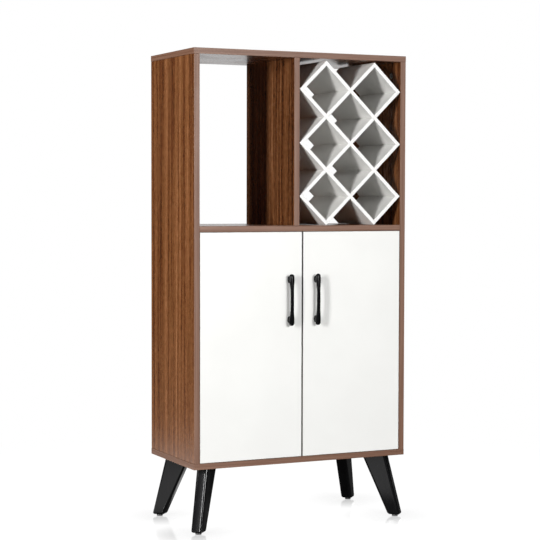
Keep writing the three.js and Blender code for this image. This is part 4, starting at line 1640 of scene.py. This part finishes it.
LAMPS = (
    Lamp("front lamp", (0.5, -5.0, 1.6), (1.5, 1.0), 138.0),
    Lamp("front softbox", (1.7, -4.6, 2.0), (3.0, 1.6), 38.0),
    Lamp("left strip", (-3.46, -2.0, 1.25), (0.4, 1.5), 112.0, aim_height=0.7),
    Lamp("left softbox", (-4.0, 0.1, 1.9), (1.2, 1.6), 76.0),
    Lamp("right softbox", (4.2, 2.9, 1.9), (2.4, 2.4), 130.0),
)


@dataclass
class Eye:
    """The camera, placed as the photograph's was. Angles are in degrees."""

    focal_pixels: float = 1629.334
    frame_pixels: float = 540.0
    sensor_width: float = 36.0
    farthest: float = 200.0
    place: Triple = (-1.85207, -3.853514, 0.84974)
    yaw: float = -25.3445
    pitch: float = -2.654
    roll: float = 0.1126

    def build(self) -> None:
        """Set the camera."""
        lens = bpy.data.cameras.new("camera")
        lens.sensor_width = self.sensor_width
        lens.lens = self.focal_pixels / self.frame_pixels * self.sensor_width
        lens.clip_end = self.farthest
        yaw, pitch, roll = (math.radians(angle) for angle in (self.yaw, self.pitch, self.roll))
        level = Vector((math.cos(yaw), math.sin(yaw), 0.0))
        forward = Vector((-math.sin(yaw), math.cos(yaw), 0.0))
        ahead = forward * math.cos(pitch) + Vector((0.0, 0.0, math.sin(pitch)))
        upward = level.cross(ahead)
        right = level * math.cos(roll) + upward * math.sin(roll)
        up = upward * math.cos(roll) - level * math.sin(roll)
        turn = Matrix((right, up, -ahead)).transposed()
        camera = bpy.data.objects.new("camera", lens)
        camera.matrix_world = Matrix.Translation(self.place) @ turn.to_4x4()
        bpy.context.scene.collection.objects.link(camera)
        bpy.context.scene.camera = camera


@dataclass
class Backdrop:
    """A white surround for what looks at it and a dim one for what it lights.

    Gloss mirrors white in three places only: a sheet behind the cabinet, the far floor under the
    sheet, and a ring on the floor round the cabinet's left half. Places are metres from the
    cabinet's middle, and the sheet's edges are shares of a ray's direction.
    """

    ambient: float = 0.01
    sheet_back: Pair = (0.5, 0.75)
    sheet_side: Pair = (-0.15, 0.15)
    floor_size: float = 60.0
    floor_tone: float = 0.15
    floor_glow: float = 0.96
    shine: float = 0.42
    shine_roughness: float = 0.12
    shine_reach: float = 0.17
    white_from: Pair = (0.7, 1.5)
    ring_across: Pair = (0.3, 0.36)
    ring_along: Pair = (0.16, 0.22)
    ring_end: Pair = (0.8, 1.8)
    ring_right: Pair = (-0.1, 0.1)

    def sheet(self, graph: Graph, direction: Sequence[Socket]) -> Socket:
        """Return the part of the surround that gloss shows."""
        behind = graph.spread(direction[1], *self.sheet_back)
        return graph.maths("MULTIPLY", behind, graph.spread(direction[0], *self.sheet_side))

    @staticmethod
    def shown(graph: Graph, mirrored_part: Socket) -> Socket:
        """Return where the white side shows: to the camera, and in gloss within a part."""
        ray = graph.add("ShaderNodeLightPath").outputs
        seen = graph.maths("MAXIMUM", ray["Is Camera Ray"], ray["Is Transmission Ray"])
        gloss = graph.maths("MULTIPLY", ray["Is Glossy Ray"], mirrored_part)
        return graph.maths("MAXIMUM", seen, gloss)

    def world(self) -> None:
        """Set the surround."""
        world = bpy.data.worlds.new("studio")
        world.use_nodes = True
        bpy.context.scene.world = world
        graph = Graph(world.node_tree)
        nodes = world.node_tree.nodes
        white = graph.wire(nodes["Background"], Color=WHITE, Strength=1.0).outputs[0]
        dim = graph.add("ShaderNodeBackground")
        dim = graph.wire(dim, Color=WHITE, Strength=self.ambient).outputs[0]
        direction = graph.parts_of(graph.add("ShaderNodeTexCoord").outputs["Generated"])
        shown = self.shown(graph, self.sheet(graph, direction))
        graph.wire(nodes["World Output"], Surface=graph.mix(shown, dim, white))

    def polish(self, graph: Graph) -> Socket:
        """Return how much the floor shines, which is only close to the feet."""
        near: object = 1.0
        for end in ENDS:
            for side in SIDES:
                foot = centre_of(f"leg_glide_{end}_{side}")
                away = graph.vector_maths("DISTANCE", graph.place(), (foot.x, foot.y, 0.0))
                near = graph.maths("MINIMUM", near, away)
        close = graph.rest(graph.spread(near, 0.0, self.shine_reach))
        return graph.maths("MULTIPLY", close, self.shine)

    def ring(self, graph: Graph, reach: Socket) -> Socket:
        """Return the white ring round the cabinet's left half that its legs mirror."""
        across, deep, _ = graph.parts_of(graph.vector_maths("ABSOLUTE", graph.place()))
        clear = graph.maths(
            "MAXIMUM",
            graph.spread(across, *self.ring_across),
            graph.spread(deep, *self.ring_along),
        )
        ring = graph.maths("SUBTRACT", clear, graph.spread(reach, *self.ring_end))
        right = graph.spread(graph.parts_of(graph.place())[0], *self.ring_right)
        return graph.maths("MULTIPLY", ring, graph.rest(right), clamp=True)

    def floor(self) -> None:
        """Lay a pale floor that keeps the cabinet's shadow and turns white away from it."""
        Bench.clear()
        bpy.ops.mesh.primitive_plane_add(size=self.floor_size)
        floor = Bench.added("floor")
        material = bpy.data.materials.new("studio floor")
        material.use_nodes = True
        floor.data.materials.append(material)
        graph = Graph(material.node_tree)
        nodes = material.node_tree.nodes
        tone = grey(self.floor_tone)
        dull = graph.wire(
            nodes["Principled BSDF"], Base_Color=tone, Roughness=1.0, Specular_IOR_Level=0.0
        ).outputs[0]
        matt = graph.wire(graph.add("ShaderNodeBsdfDiffuse"), Color=tone).outputs[0]
        glow = graph.wire(graph.add("ShaderNodeEmission"), Strength=self.floor_glow).outputs[0]
        pale = graph.feed_all(graph.add("ShaderNodeAddShader"), matt, glow).outputs[0]
        gloss = graph.add("ShaderNodeBsdfGlossy")
        gloss = graph.wire(gloss, Roughness=self.shine_roughness).outputs[0]
        polished = graph.mix(self.polish(graph), pale, gloss)
        reach = graph.vector_maths("LENGTH", graph.place())
        far = graph.spread(reach, *self.white_from)
        near_or_far = graph.mix(far, polished, graph.add("ShaderNodeEmission").outputs[0])
        direction = graph.parts_of(graph.vector_maths("NORMALIZE", graph.place()))
        sheet = graph.maths("MULTIPLY", self.sheet(graph, direction), far)
        shown = self.shown(graph, graph.maths("MAXIMUM", sheet, self.ring(graph, reach)))
        graph.wire(nodes["Material Output"], Surface=graph.mix(shown, dull, near_or_far))

    def build(self) -> None:
        """Set up the surround and the floor."""
        self.world()
        self.floor()


def main() -> None:
    """Build the cabinet's looks and the studio round it."""
    logging.basicConfig(level=logging.INFO, format="%(message)s")
    bpy.context.scene.view_settings.view_transform = "Standard"
    assemblies = (Carcass, LatticeRack, Doors, Handles, Hinges, PanelFittings, Legs, Eye, Backdrop)
    for assembly in assemblies:
        assembly().build()
    for lamp in LAMPS:
        lamp.hang()


if __name__ == "__main__":
    main()
